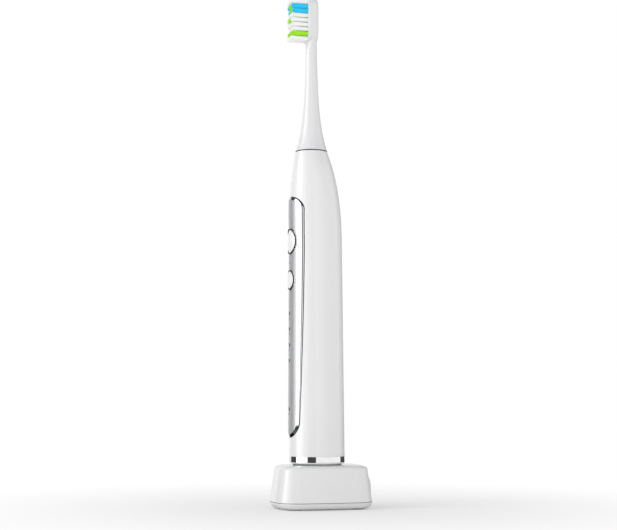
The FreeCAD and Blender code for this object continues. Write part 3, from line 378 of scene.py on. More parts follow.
def flat_fill(outline, holes, spacing):
    """Triangles that fill an outline less round holes, each hole (x, z, radius, points)."""
    coords = [Vector(point) for point in outline]
    edges = [(step, (step + 1) % len(outline)) for step in range(len(outline))]
    for x, z, radius, count in holes:
        start = len(coords)
        ring = arc_points((x, z), radius, 0.0, TURN, count)
        coords += [Vector(point) for point in ring]
        edges += [(start + step, start + (step + 1) % count) for step in range(count)]
    low_z = min(point[1] for point in outline)
    high_z = max(point[1] for point in outline)
    rows = int((high_z - low_z) / spacing)
    right = sorted((point for point in outline if point[0] >= 0), key=lambda point: point[1])
    for row in range(1, rows):
        z = low_z + (high_z - low_z) * row / rows
        above = next(index for index, point in enumerate(right) if point[1] > z)
        a = right[above - 1]
        b = right[above]
        reach = a[0] + (b[0] - a[0]) * (z - a[1]) / max(b[1] - a[1], 1e-9) - spacing * 0.45
        cells = max(1, round(2 * reach / spacing))
        for cell in range(cells + 1):
            x = -reach + 2 * reach * cell / cells
            if all(math.hypot(x - h[0], z - h[1]) > h[2] + spacing * 0.4 for h in holes):
                coords.append(Vector((x, z)))
    found, _, triangles, _, _, _ = delaunay_2d_cdt(coords, edges, [], 1, 1e-8)
    kept = []
    for face in triangles:
        x = sum(found[index].x for index in face) / 3
        z = sum(found[index].y for index in face) / 3
        if all(math.hypot(x - h[0], z - h[1]) > h[2] * 0.98 for h in holes):
            kept.append(tuple(face))
    return [(point.x, point.y) for point in found], kept


# ------------------------------------------------------------------ finishes
made = {}


def add_node(tree, kind, inputs=None, **settings):
    """A new node. An input given a socket is linked to it; any other value is set."""
    node = tree.nodes.new("ShaderNode" + kind)
    for name, value in settings.items():
        setattr(node, name, value)
    for name, value in (inputs or {}).items():
        if isinstance(value, bpy.types.NodeSocket):
            tree.links.new(value, node.inputs[name])
        else:
            node.inputs[name].default_value = value
    return node


class Finish:
    """A material's node tree, laid out from the surface coordinates to the shader."""

    def __init__(self, name):
        self.material = bpy.data.materials.new(name)
        self.material.use_nodes = True
        self.tree = self.material.node_tree
        self.shader = self.tree.nodes["Principled BSDF"]
        self.place = add_node(self.tree, "TexCoord").outputs["Object"]

    def noise(self, scale, detail=3.0, rough=0.55, stretch=(1.0, 1.0, 1.0)):
        mapping = add_node(self.tree, "Mapping", {"Vector": self.place, "Scale": stretch})
        texture = add_node(self.tree, "TexNoise", {"Vector": mapping.outputs["Vector"], "Scale": scale,
                                                   "Detail": detail, "Roughness": rough})
        return texture.outputs["Fac"]

    def bands(self, scale, axis="Z", distortion=0.0):
        inputs = {"Vector": self.place, "Scale": scale, "Distortion": distortion}
        return add_node(self.tree, "TexWave", inputs, wave_type="BANDS", bands_direction=axis).outputs["Fac"]

    def shades(self, source, dark, light, low=0.3, high=0.7):
        ramp = add_node(self.tree, "ValToRGB", {"Fac": source})
        for stop, position, rgb in zip(ramp.color_ramp.elements, (low, high), (dark, light)):
            stop.position = position
            stop.color = (*rgb, 1.0)
        self.tree.links.new(ramp.outputs["Color"], self.shader.inputs["Base Color"])

    def roughness(self, source, low, high):
        spread = add_node(self.tree, "MapRange", {"Value": source, "To Min": low, "To Max": high})
        self.tree.links.new(spread.outputs["Result"], self.shader.inputs["Roughness"])

    def bump(self, source, strength, depth):
        bump = add_node(self.tree, "Bump", {"Height": source, "Strength": strength, "Distance": depth})
        self.tree.links.new(bump.outputs["Normal"], self.shader.inputs["Normal"])


def scaled(rgb, share):
    return tuple(min(1.0, channel * share) for channel in rgb)


def moulded(name, rgb, rough=0.12, grain=900.0, texture=0.04, coat=0.0):
    """Moulded plastic: even colour, a faint flow mottle and a fine skin."""
    finish = Finish(name)
    flow = finish.noise(45.0, detail=2.0)
    finish.shades(flow, scaled(rgb, 0.985), rgb)
    finish.roughness(finish.noise(260.0), rough * 0.85, rough * 1.2)
    finish.bump(finish.noise(grain, detail=2.0), texture, 0.02 * MM)
    finish.shader.inputs["IOR"].default_value = 1.49
    finish.shader.inputs["Coat Weight"].default_value = coat
    finish.shader.inputs["Coat Roughness"].default_value = 0.04
    return finish


def metal(name, rgb, rough=0.2, brushed=0.0, scale=700.0):
    finish = Finish(name)
    finish.shader.inputs["Metallic"].default_value = 1.0
    stretch = (1.0, 1.0, 1.0 + brushed)
    streak = finish.noise(scale, stretch=stretch)
    finish.shades(streak, scaled(rgb, 0.93), rgb)
    finish.roughness(streak, rough * 0.8, rough * 1.3)
    finish.bump(streak, 0.08 if brushed else 0.02, 0.01 * MM)
    return finish


def paint():
    return bpy.context.scene.toothbrush_colours


def tone(shade):
    """A colour given outright, or by its name among the colours of the sidebar."""
    return tuple(getattr(paint(), shade)) if isinstance(shade, str) else shade


def nylon(name, rgb, glow=0.12):
    """Fine nylon fibre: streaks along its length, a soft sheen, and a faint glow in its own colour, which is
    painted light.
    """
    finish = Finish(name)
    streak = finish.noise(2600.0, detail=2.0, stretch=(1.0, 0.06, 1.0))
    finish.shades(streak, scaled(rgb, 0.92), rgb, 0.25, 0.7)
    finish.roughness(streak, 0.28, 0.42)
    finish.shader.inputs["Sheen Weight"].default_value = 0.15
    # Emission in the fibre's own colour: painted light that brightens the tufts and the gaps between the
    # fibres.
    finish.shader.inputs["Emission Color"].default_value = (*rgb, 1.0)
    finish.shader.inputs["Emission Strength"].default_value = glow
    return finish


def finish_white_satin():
    return moulded("satin_white", scaled(paint().shell, 0.97), rough=0.32, texture=0.1)


def finish_pearl_panel():
    """Satin pearl lacquer over fine flakes."""
    finish = moulded("panel_pearl", tone("panel"), rough=0.38, texture=0.02)
    finish.shader.inputs["Metallic"].default_value = 0.6
    flakes = finish.noise(5200.0, detail=1.0)
    finish.shades(flakes, scaled(paint().panel, 0.93), scaled(paint().panel, 1.05), 0.4, 0.6)
    return finish


def finish_board_green():
    """Solder mask over fine copper tracks."""
    finish = moulded("board_green", (0.02, 0.16, 0.06), rough=0.3)
    tracks = finish.bands(420.0, "X", 1.5)
    finish.shades(tracks, (0.012, 0.11, 0.04), (0.03, 0.22, 0.09), 0.45, 0.55)
    return finish


def finish_copper_wire():
    """Enamelled wire, wound in close turns."""
    finish = metal("winding_copper", (0.78, 0.36, 0.16), rough=0.28)
    turns = finish.bands(520.0)
    # The colour darkens towards each band's trough: painted shade in the creases between the turns, on top of
    # the bumped grooves.
    finish.shades(turns, (0.30, 0.12, 0.05), (0.85, 0.42, 0.20), 0.1, 0.7)
    finish.bump(turns, 0.6, 0.08 * MM)
    return finish


def finish_cell_wrap():
    """Shrink sleeve on the cell, with a faint crinkle."""
    finish = moulded("cell_wrap", (0.05, 0.20, 0.42), rough=0.25)
    finish.bump(finish.noise(240.0, stretch=(1.0, 1.0, 0.25)), 0.3, 0.05 * MM)
    return finish


def finish_head_white():
    finish = moulded("head_white", tone("head"), rough=0.14, texture=0.02)
    finish.shader.inputs["Subsurface Weight"].default_value = 0.12
    finish.shader.inputs["Subsurface Radius"].default_value = (1.0, 1.0, 1.0)
    finish.shader.inputs["Subsurface Scale"].default_value = 1.0 * MM
    return finish


# Slot: maker, material name, colour, and what differs from the maker's usual finish
FINISHES = {
    "mark_ink": (moulded, "mark_ink", "mark", {"rough": 0.5, "texture": 0.1}),
    "white_gloss": (moulded, "shell_white", "shell", {"rough": 0.07, "texture": 0.015}),
    # Real seals share this finish with the near-black strips of painted shade.
    "grey_rubber": (moulded, "seal_rubber", "line", {"rough": 0.55, "texture": 0.2}),
    "foot_rubber": (moulded, "foot_rubber", (0.40, 0.40, 0.41), {"rough": 0.5, "texture": 0.2}),
    "white_rubber": (moulded, "white_rubber", (0.66, 0.66, 0.65), {"rough": 0.5, "texture": 0.2}),
    "button_white": (moulded, "button_white", "button", {"rough": 0.16, "texture": 0.03}),
    "smoked_window": (moulded, "smoked_window", (0.02, 0.021, 0.024), {"rough": 0.3, "texture": 0.01}),
    "component_black": (moulded, "component_black", (0.02, 0.02, 0.022), {"rough": 0.45, "texture": 0.25}),
    "lamp_white": (moulded, "lamp_white", (0.78, 0.78, 0.70), {"rough": 0.25, "coat": 0.3}),
    "ferrite": (moulded, "ferrite", (0.045, 0.043, 0.045), {"rough": 0.6, "texture": 0.35, "grain": 1500.0}),
    "black_plastic": (moulded, "black_plastic", (0.03, 0.03, 0.032), {"rough": 0.35, "texture": 0.15}),
    "grey_plastic": (moulded, "grey_plastic", (0.22, 0.225, 0.235), {"rough": 0.4, "texture": 0.2}),
    "chrome_trim": (metal, "plated_trim", "trim", {"rough": 0.035, "scale": 400.0}),
    "steel": (metal, "turned_steel", (0.58, 0.58, 0.60), {"rough": 0.22, "brushed": 6.0}),
    "nickel": (metal, "nickel_strip", (0.66, 0.64, 0.60), {"rough": 0.3}),
    "magnet": (metal, "plated_magnet", (0.50, 0.50, 0.53), {"rough": 0.3}),
    "bronze": (metal, "sintered_bronze", (0.60, 0.40, 0.20), {"rough": 0.45, "scale": 1600.0}),
    # The bristle finishes glow a little by emission: painted light, weakest on the white tufts.
    "bristle_white": (nylon, "bristle_white", "white", {"glow": 0.03}),
    "bristle_blue": (nylon, "bristle_blue", "blue", {}),
    "bristle_green": (nylon, "bristle_green", "green", {}),
}
SPECIAL_FINISHES = {
    "white_satin": finish_white_satin,
    "pearl_panel": finish_pearl_panel,
    "board_green": finish_board_green,
    "copper_wire": finish_copper_wire,
    "cell_wrap": finish_cell_wrap,
    "head_white": finish_head_white,
}


def build_finish(slot):
    if slot in SPECIAL_FINISHES:
        return SPECIAL_FINISHES[slot]()
    maker, name, shade, differences = FINISHES[slot]
    return maker(name, tone(shade), **differences)


def finish_for(slot):
    if slot not in made:
        made[slot] = build_finish(slot).material
    return made[slot]


# ------------------------------------------------------------------ pieces
class TOOTHBRUSH_OT_finish_parts(bpy.types.Operator):
    """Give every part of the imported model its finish"""
    bl_idname = "toothbrush.finish_parts"
    bl_label = "Finish Packed Parts"

    repainted = {"seat_ring": "foot_rubber"}

    def execute(self, context):
        slots = {part["node"]: part["material_slot"] for part in frame["record"]["subparts"]}
        for name, part in frame["nodes"].items():
            part.data.materials.clear()
            part.data.materials.append(finish_for(self.repainted.get(name, slots[name])))
        return {"FINISHED"}


class TOOTHBRUSH_OT_faceplate(bpy.types.Operator):
    """Build the pearl faceplate with its openings for buttons and windows"""
    bl_idname = "toothbrush.faceplate"
    bl_label = "Faceplate"

    def execute(self, context):
        p = context.scene.toothbrush_panel
        inner = -p.trim_width - SLIP
        round_in = p.edge
        spacing = 1.1 * MM
        holes = []
        for node in ("power_button_ring", "mode_button_ring"):
            radius = (highest(node).z - lowest(node).z) / 2 + SLIP
            holes.append((0.0, middle_z(node), radius, 96))
        for z in window_heights():
            holes.append((0.0, z, p.window_r + SLIP, 32))
        wide_holes = [(x, z, radius + round_in, count) for x, z, radius, count in holes]
        flat, triangles = flat_fill(panel_outline(inner - round_in), wide_holes, spacing)
        bodies = [(laid_on(flat, p.proud), triangles), (laid_on(flat, -p.sunk), triangles)]
        quarter_round = [(0.0, 1.0), (0.62, 0.9), (0.9, 0.6), (1.0, 0.0)]

        def edge_band(ring_at):
            rings = [laid_on(ring_at(out), p.proud - round_in * (1 - up)) for out, up in quarter_round]
            rings.append(laid_on(ring_at(1.0), -p.sunk + round_in))
            rings.append(laid_on(ring_at(0.0), -p.sunk))
            return loft(rings)

        bodies.append(edge_band(lambda out: panel_outline(inner - round_in * (1 - out))))
        for x, z, radius, count in holes:
            bodies.append(edge_band(lambda out: arc_points(
                (x, z), radius + round_in * (1 - out), 0.0, TURN, count)))
        plate = make_piece("pearl_faceplate", joined(*bodies), "pearl_panel", "handle", ["faceplate"],
                           SOFT_CREASE)
        true_front_normals(plate, p.proud)
        return {"FINISHED"}


def window_heights():
    """The windows' heights, read from the separate rods of the light guides."""
    apart = 2 * MM
    mesh = frame["nodes"]["light_guides"].data
    heights = sorted(vertex.co.z for vertex in mesh.vertices)
    groups = [[heights[0]]]
    for z in heights[1:]:
        if z - groups[-1][-1] > apart:
            groups.append([])
        groups[-1].append(z)
    return [(group[0] + group[-1]) / 2 for group in groups]


def slope(start, end):
    """Two points just inside the ends of a straight face, which keep its shading flat."""
    points = []
    for share in (0.07, 0.93):
        points.append((start[0] + (end[0] - start[0]) * share, start[1] + (end[1] - start[1]) * share))
    return points


class TOOTHBRUSH_OT_trim(bpy.types.Operator):
    """Build the bright bevelled trim round the panel and the near-black strip at its edge, a painted shadow of
    the groove there
    """
    bl_idname = "toothbrush.trim"
    bl_label = "Panel Trim"

    def execute(self, context):
        p = context.scene.toothbrush_panel
        width = p.trim_width
        high = p.proud
        low = p.trim_edge
        inner = (-width + 0.12 * MM, high)
        outer = (-0.32 * MM, low)
        section = [(-width, -p.sunk), (-width, high - 0.07 * MM), (-width + 0.04 * MM, high - 0.015 * MM),
                   inner, *slope(inner, outer), outer, (-0.17 * MM, low - 0.07 * MM),
                   (-0.08 * MM, low - 0.12 * MM), (-SLIP, 0.0), (-SLIP, -p.sunk)]
        tip = panel_tip()
        rings = []
        for grown, proud in section:
            share = min(1.0, max(0.0, (grown - inner[0]) / (outer[0] - inner[0]))) if proud > 0.0 else 0.0
            ring = []
            for x, z in panel_outline(grown):
                near_tip = max(0.0, 1.0 - (z - tip) / p.trim_fade)
                ring.append(on_handle(x, z, proud - p.trim_fall * share * math.sqrt(near_tip)))
            rings.append(ring)
        make_piece("bevelled_trim", loft(rings, closed=True), "chrome_trim", "handle", ["faceplate_trim"],
                   ROUND_CREASE)
        # The near-black strip round the trim is painted shadow: it stands for the shade in the groove between
        # the trim and the housing.
        deep = -0.2 * MM
        top = 0.05 * MM
        line = [(-SLIP, deep), (-SLIP, top), (0.3 * p.line_width, top),
                (0.8 * p.line_width, 0.03 * MM), (p.line_width, -0.01 * MM), (p.line_width, deep)]
        rings = [laid_on(panel_outline(grown), proud) for grown, proud in line]
        make_piece("trim_painted_shadow_strip", loft(rings, closed=True), "grey_rubber", "handle")
        return {"FINISHED"}


class TOOTHBRUSH_OT_buttons(bpy.types.Operator):
    """Build the domed button caps and the bright rings round them"""
    bl_idname = "toothbrush.buttons"
    bl_label = "Buttons"

    def execute(self, context):
        b = context.scene.toothbrush_buttons
        for body in ("power_button", "mode_button"):
            ring_node = body + "_ring"
            z = middle_z(ring_node)
            outer = (highest(ring_node).z - lowest(ring_node).z) / 2
            cap_r = outer - b.ring_width - b.gap
            self.build_ring(context, body, z, outer)
            self.build_cap(context, body, z, cap_r)
            self.build_membrane(body, z, cap_r)
        return {"FINISHED"}

    def build_ring(self, context, body, z, outer):
        b = context.scene.toothbrush_buttons
        p = context.scene.toothbrush_panel
        inner = outer - b.ring_width
        top = p.proud + b.ring_proud
        rim = (outer - 0.1 * MM, top)
        low = (inner + 0.1 * MM, top - 0.15 * MM)
        bezel = [(outer, -p.sunk), (outer, top - 0.12 * MM), (outer - 0.03 * MM, top - 0.04 * MM), rim,
                 *slope(rim, low), low, (inner + 0.03 * MM, top - 0.2 * MM), (inner, top - 0.35 * MM),
                 (inner, -p.sunk)]
        make_piece(body + "_bezel", self.turned(bezel, z), "chrome_trim", "handle", [body + "_ring"],
                   ROUND_CREASE)
        # The dark lip is painted shade: a near-black ring that stands for the shaded slit round the cap.
        edge = inner + b.lip_width
        crest = top + b.lip_rise
        lip = [(edge, top - 0.14 * MM), (edge, crest - 0.16 * MM), (edge - 0.05 * MM, crest - 0.05 * MM),
               (edge - 0.16 * MM, crest), (inner + 0.16 * MM, crest), (inner + 0.08 * MM, crest - 0.06 * MM),
               (inner + 0.04 * MM, crest - 0.16 * MM), (inner + 0.04 * MM, top - 0.17 * MM)]
        make_piece(body + "_lip", self.turned(lip, z), "grey_rubber", "handle", crease=ROUND_CREASE)

    def build_membrane(self, body, z, radius):
        """The soft disc under a cap, with a hinge groove; in the real brush it gives way to the plunger, here
        it keeps its shape.
        """
        front = lowest("button_membranes").y
        back = highest("button_membranes").y
        edge = 0.06 * MM
        groove = 0.18 * MM
        profile = [(radius - edge, back), (radius, back - edge), (radius, front + edge), (radius - edge, front),
                   (radius * 0.82, front), (radius * 0.78, front + groove), (radius * 0.66, front + groove),
                   (radius * 0.62, front)]
        rings = [upright(size, y, 72, 0.0, z) for size, y in profile]
        disc = capped(rings, Vector((0.0, back, z)), Vector((0.0, front, z)))
        membrane = make_piece(body + "_membrane", disc, "white_rubber", "handle", ["button_membranes"],
                              SOFT_CREASE)
        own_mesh(membrane)

    def turned(self, section, z):
        """A ring round a button's axis that follows the handle's form."""
        rings = [laid_on(arc_points((0.0, z), radius, 0.0, TURN, 120), proud) for radius, proud in section]
        return loft(rings, closed=True)

    def build_cap(self, context, body, z, radius):
        b = context.scene.toothbrush_buttons
        p = context.scene.toothbrush_panel
        front = handle_middle(z) - handle_radius(z) - p.proud - b.dome
        plunger = highest(body).y
        seat = plunger - b.plunger_length

        def dome_y(x, height):
            across = b.dome_across - (b.dome_up - math.sqrt(b.dome_up ** 2 - (height - z) ** 2))
            return front + b.dome_across - math.sqrt(max(across ** 2 - x * x, 0.0))

        count = 96
        face = [(share, 0.0) for share in (0.06, 0.14, 0.24, 0.36, 0.5, 0.64, 0.76, 0.86, 0.93, 0.965)]
        rounded_rim = [(0.985, 0.05 * MM), (0.997, 0.16 * MM), (1.0, 0.32 * MM)]
        rings = []
        for share, drop in face + rounded_rim:
            ring = arc_points((0.0, z), radius * share, 0.0, TURN, count)
            rings.append([Vector((x, dome_y(x, height) + drop, height)) for x, height in ring])
        for size, y in ((radius, seat), (b.plunger_r, seat), (b.plunger_r, plunger)):
            rings.append(upright(size, y, count, 0.0, z))
        cap = capped(rings, Vector((0.0, front, z)), Vector((0.0, plunger, z)))
        make_piece(body + "_cap", cap, "button_white", body, [body], SOFT_CREASE)


class TOOTHBRUSH_OT_joint_lines(bpy.types.Operator):
    """Build the near-black rings that paint the shade of the joints as thin lines at the neck and round the
    base
    """
    bl_idname = "toothbrush.joint_lines"
    bl_label = "Joint Lines"

    def execute(self, context):
        h = context.scene.toothbrush_handle
        top = highest("handle_housing").z
        head = lowest("head_body").z
        neck_y = handle_middle(top)
        skin = h.neck_r + 0.03 * MM
        bore = h.neck_r - 1.4 * MM
        hem = top - 0.13 * MM
        # A near-black ring flush with the skin across the neck joint: painted shade of the gap between head and
        # handle, kept dark out to the edges.
        section = [(bore, top + SLIP), (bore, head - SLIP), (skin - 0.1 * MM, head - SLIP),
                   (skin, head - 0.12 * MM), (skin + 0.01 * MM, (top + head) / 2),
                   (skin + 0.02 * MM, top - 0.04 * MM), (skin, hem), (skin - 0.1 * MM, hem),
                   (skin - 0.2 * MM, top + SLIP)]
        rings = [circle(radius, z, 128, 0.0, neck_y) for radius, z in section]
        make_piece("neck_joint_painted_shade", loft(rings, closed=True), "grey_rubber", "handle")
        low = highest_plate_edge()
        high = lowest("base_shell").z
        deep = 1.2 * MM
        shy = 0.06 * MM
        # A near-black strip let into the seam between shell and plate: painted shade of the gap in the seam.
        section = [(deep, low), (shy, low), (shy / 2, (low + high) / 2), (shy, high), (deep, high)]
        rings = [[Vector((x, y, z)) for x, y in base_outline(inset)] for inset, z in section]
        make_piece("base_seam_painted_shade", loft(rings, closed=True), "grey_rubber", "charger_base")
        return {"FINISHED"}


def highest_plate_edge():
    """The height of the base plate's outer rim, under the shell."""
    low, high = boxes["base_plate"]
    rim = [vertex.co.z for vertex in frame["nodes"]["base_plate"].data.vertices
           if vertex.co.y < low.y + 0.05 * MM]
    return max(rim)


def base_outline(inset):
    """The base's plan as (x, y) points, drawn in by a distance."""
    b = bpy.context.scene.toothbrush_base
    half_x = (highest("base_shell").x - lowest("base_shell").x) / 2
    half_y = -lowest("base_shell").y
    side = (half_x - b.side_bow_r, 0.0)
    end = (0.0, half_y - b.end_bow_r)
    cx, cy = corner_centre(side, b.side_bow_r, end, b.end_bow_r, b.corner_r)
    low = math.atan2(cy, cx - side[0])
    high = math.atan2(cy - end[1], cx)
    quarter = arc_points(side, b.side_bow_r - inset, 0.0, low, 24)
    quarter += arc_points((cx, cy), b.corner_r - inset, low, high, 24)
    quarter += arc_points(end, b.end_bow_r - inset, high, math.pi / 2, 17)
    quarter = quarter[:-1] + [(0.0, end[1] + b.end_bow_r - inset)]
    left = [(-x, y) for x, y in reversed(quarter[:-1])]
    back = quarter + left
    return back + [(x, -y) for x, y in reversed(back[1:-1])]


class TOOTHBRUSH_OT_marks(bpy.types.Operator):
    """Build the small grey marks printed on the faceplate"""
    bl_idname = "toothbrush.marks"
    bl_label = "Printed Marks"

    stroke = 0.22 * MM
    cell_half = (0.85 * MM, 0.375 * MM)     # the outline of a cell, below the charge lamp
    bar_size = (0.26 * MM, 0.9 * MM)        # the counting bars below the mode lamps
    bar_pitch = 0.62 * MM
    below_window = 2.9 * MM

    def execute(self, context):
        icon_z = (middle_z("power_button_ring") + middle_z("mode_button_ring")) / 2 - 1.0 * MM
        bodies = [self.arc_mark(0.0, icon_z, 0.95 * MM, self.stroke, -245.0, 65.0),
                  self.bar_mark(0.0, icon_z + 0.75 * MM, self.stroke, 1.0 * MM)]
        heights = window_heights()
        wide, tall = self.cell_half
        low = heights[0] - self.below_window
        for z in (low, low + 2 * tall):
            bodies.append(self.bar_mark(0.0, z, 2 * wide, self.stroke))
        for x in (-wide, wide):
            bodies.append(self.bar_mark(x, low + tall, self.stroke, 2 * tall))
        for number, z in enumerate(heights[1:], 1):
            for bar in range(number):
                x = (bar - (number - 1) / 2) * self.bar_pitch
                bodies.append(self.bar_mark(x, z - self.below_window + 0.3 * MM, *self.bar_size))
        make_piece("panel_marks", joined(*bodies), "mark_ink", "handle")
        return {"FINISHED"}

    def slab(self, outer, inner):
        """A thin print between two rows of points."""
        proud = bpy.context.scene.toothbrush_panel.proud
        sunk = -0.01 * MM
        raised = 0.015 * MM
        corners = ((outer, sunk), (outer, raised), (inner, raised), (inner, sunk))
        rings = [laid_on(row, proud + lift) for row, lift in corners]
        count = len(outer)
        points = [point for ring in rings for point in ring]
        faces = []
        for span in range(4):
            a = span * count
            b = ((span + 1) % 4) * count
            for step in range(count - 1):
                faces.append((a + step, a + step + 1, b + step + 1, b + step))
        for end in (0, count - 1):
            faces.append(tuple(span * count + end for span in range(4)))
        return points, faces

    def arc_mark(self, x, z, radius, width, start, end):
        turns = (math.radians(start), math.radians(end))
        outer = arc_points((x, z), radius, *turns, 36)
        inner = arc_points((x, z), radius - width, *turns, 36)
        return self.slab(outer, inner)

    def bar_mark(self, x, z, wide, tall):
        steps = [-0.5, -0.17, 0.17, 0.5]
        outer = [(x + wide * step, z + tall / 2) for step in steps]
        inner = [(x + wide * step, z - tall / 2) for step in steps]
        return self.slab(outer, inner)


class TOOTHBRUSH_OT_bristles(bpy.types.Operator):
    """Build the tufts as bundles of fine fibres in three colours"""
    bl_idname = "toothbrush.bristles"
    bl_label = "Bristles"

    rows = ["wwww", "gggg", "wwww", "wwww", "wggw", "wwww", "bggb", "bggb", "wwww"]
    columns = [-3.9 * MM, -1.3 * MM, 1.3 * MM, 3.9 * MM]
    names = {"w": "white_bristles", "g": "green_bristles", "b": "blue_bristles"}
    slots = {"w": "bristle_white", "g": "bristle_green", "b": "bristle_blue"}

    def execute(self, context):
        s = context.scene.toothbrush_head
        draw = random.Random(s.seed)
        plate_front = lowest("white_bristles").y + s.bristle_length + s.wave
        plate_low = highest("head_body").z - s.plate_length
        last = len(self.rows) - 1
        middle = plate_low + s.first_row + s.row_pitch * last / 2
        wave_length = s.row_pitch * last / 2
        tufts = {"w": [], "g": [], "b": []}
        for row, colours in enumerate(self.rows):
            z = plate_low + s.first_row + s.row_pitch * row
            tip = plate_front - s.bristle_length - s.wave * math.cos(TURN * (z - middle) / wave_length)
            for x, shade in zip(self.columns, colours):
                if row in (0, last) and abs(x) > s.row_pitch:
                    x -= math.copysign(s.end_inset, x)
                tufts[shade].append(self.tuft(s, draw, x, z, plate_front, tip))
        for shade, bundles in tufts.items():
            make_piece(self.names[shade] + "_fibres", joined(*bundles), self.slots[shade], "brush_head",
                       [self.names[shade]], FIBRE_CREASE)
        return {"FINISHED"}

    def tuft(self, s, draw, x, z, plate_front, tip):
        reach = s.tuft_r - s.fibre_r
        steps = int(reach / s.fibre_pitch) + 2
        fibres = []
        for i in range(-steps, steps + 1):
            for j in range(-steps, steps + 1):
                dx = s.fibre_pitch * (i + 0.5 * (j % 2))
                dz = s.fibre_pitch * j * math.sqrt(3) / 2
                if math.hypot(dx, dz) > reach:
                    continue
                fibres.append(self.fibre(s, draw, x + dx, z + dz, dx, dz, plate_front, tip))
        fibres.append(self.packed_middle(s, x, z, plate_front, tip))
        return joined(*fibres)

    def packed_middle(self, s, x, z, plate_front, tip):
        """The tightly packed inside of a tuft, a little short of the fibres' ends."""
        rings = []
        start = plate_front + s.tuft_sunk
        end = tip + s.core_short
        for along in (0.0, 0.5, 0.8, 0.93, 0.985, 1.0):
            spread = 1.0 + s.splay * along ** s.splay_power
            closing = 1.0 if along < 0.9 else math.sqrt(max(0.02, 1 - ((along - 0.9) / 0.1) ** 2 * 0.9))
            radius = (s.tuft_r - 1.2 * s.fibre_r) * spread * closing
            rings.append(upright(radius, start + (end - start) * along, 20, x, z))
        return capped(rings, Vector((x, start, z)), Vector((x, end, z)))

    def fibre(self, s, draw, x, z, dx, dz, plate_front, tip):
        """One fibre: a thin tube from its hole to a rounded end."""
        lean_x = dx * s.splay + draw.uniform(-s.scatter, s.scatter)
        lean_z = dz * s.splay + draw.uniform(-s.scatter, s.scatter)
        end = tip + draw.uniform(0.0, s.uneven)
        start = plate_front + s.tuft_sunk
        turn = draw.uniform(0.0, 1.0)
        sides = 6
        rings = []
        for along, wide in ((0.0, 1.0), (0.35, 1.0), (0.7, 1.0), (0.975, 1.0), (0.992, 0.72)):
            bend = along ** s.splay_power
            y = start + (end - start) * along
            ring = []
            for side in range(sides):
                angle = TURN * (side + turn) / sides
                ring.append(Vector((x + lean_x * bend + s.fibre_r * wide * math.cos(angle), y,
                                    z + lean_z * bend + s.fibre_r * wide * math.sin(angle))))
            rings.append(ring)
        top = Vector((x + lean_x, end, z + lean_z))
        root = Vector((x, start, z))
        return joined(loft(rings), lid(rings[-1], top), lid(rings[0], root))


# ------------------------------------------------------------------ stage
def graded(tree, source, span, levels=(0.0, 1.0), kind="SMOOTHSTEP"):
    """Map a span of the source onto two levels."""
    inputs = dict(zip(("From Min", "From Max", "To Min", "To Max"), (*span, *levels)), Value=source)
    return add_node(tree, "MapRange", inputs, interpolation_type=kind).outputs["Result"]


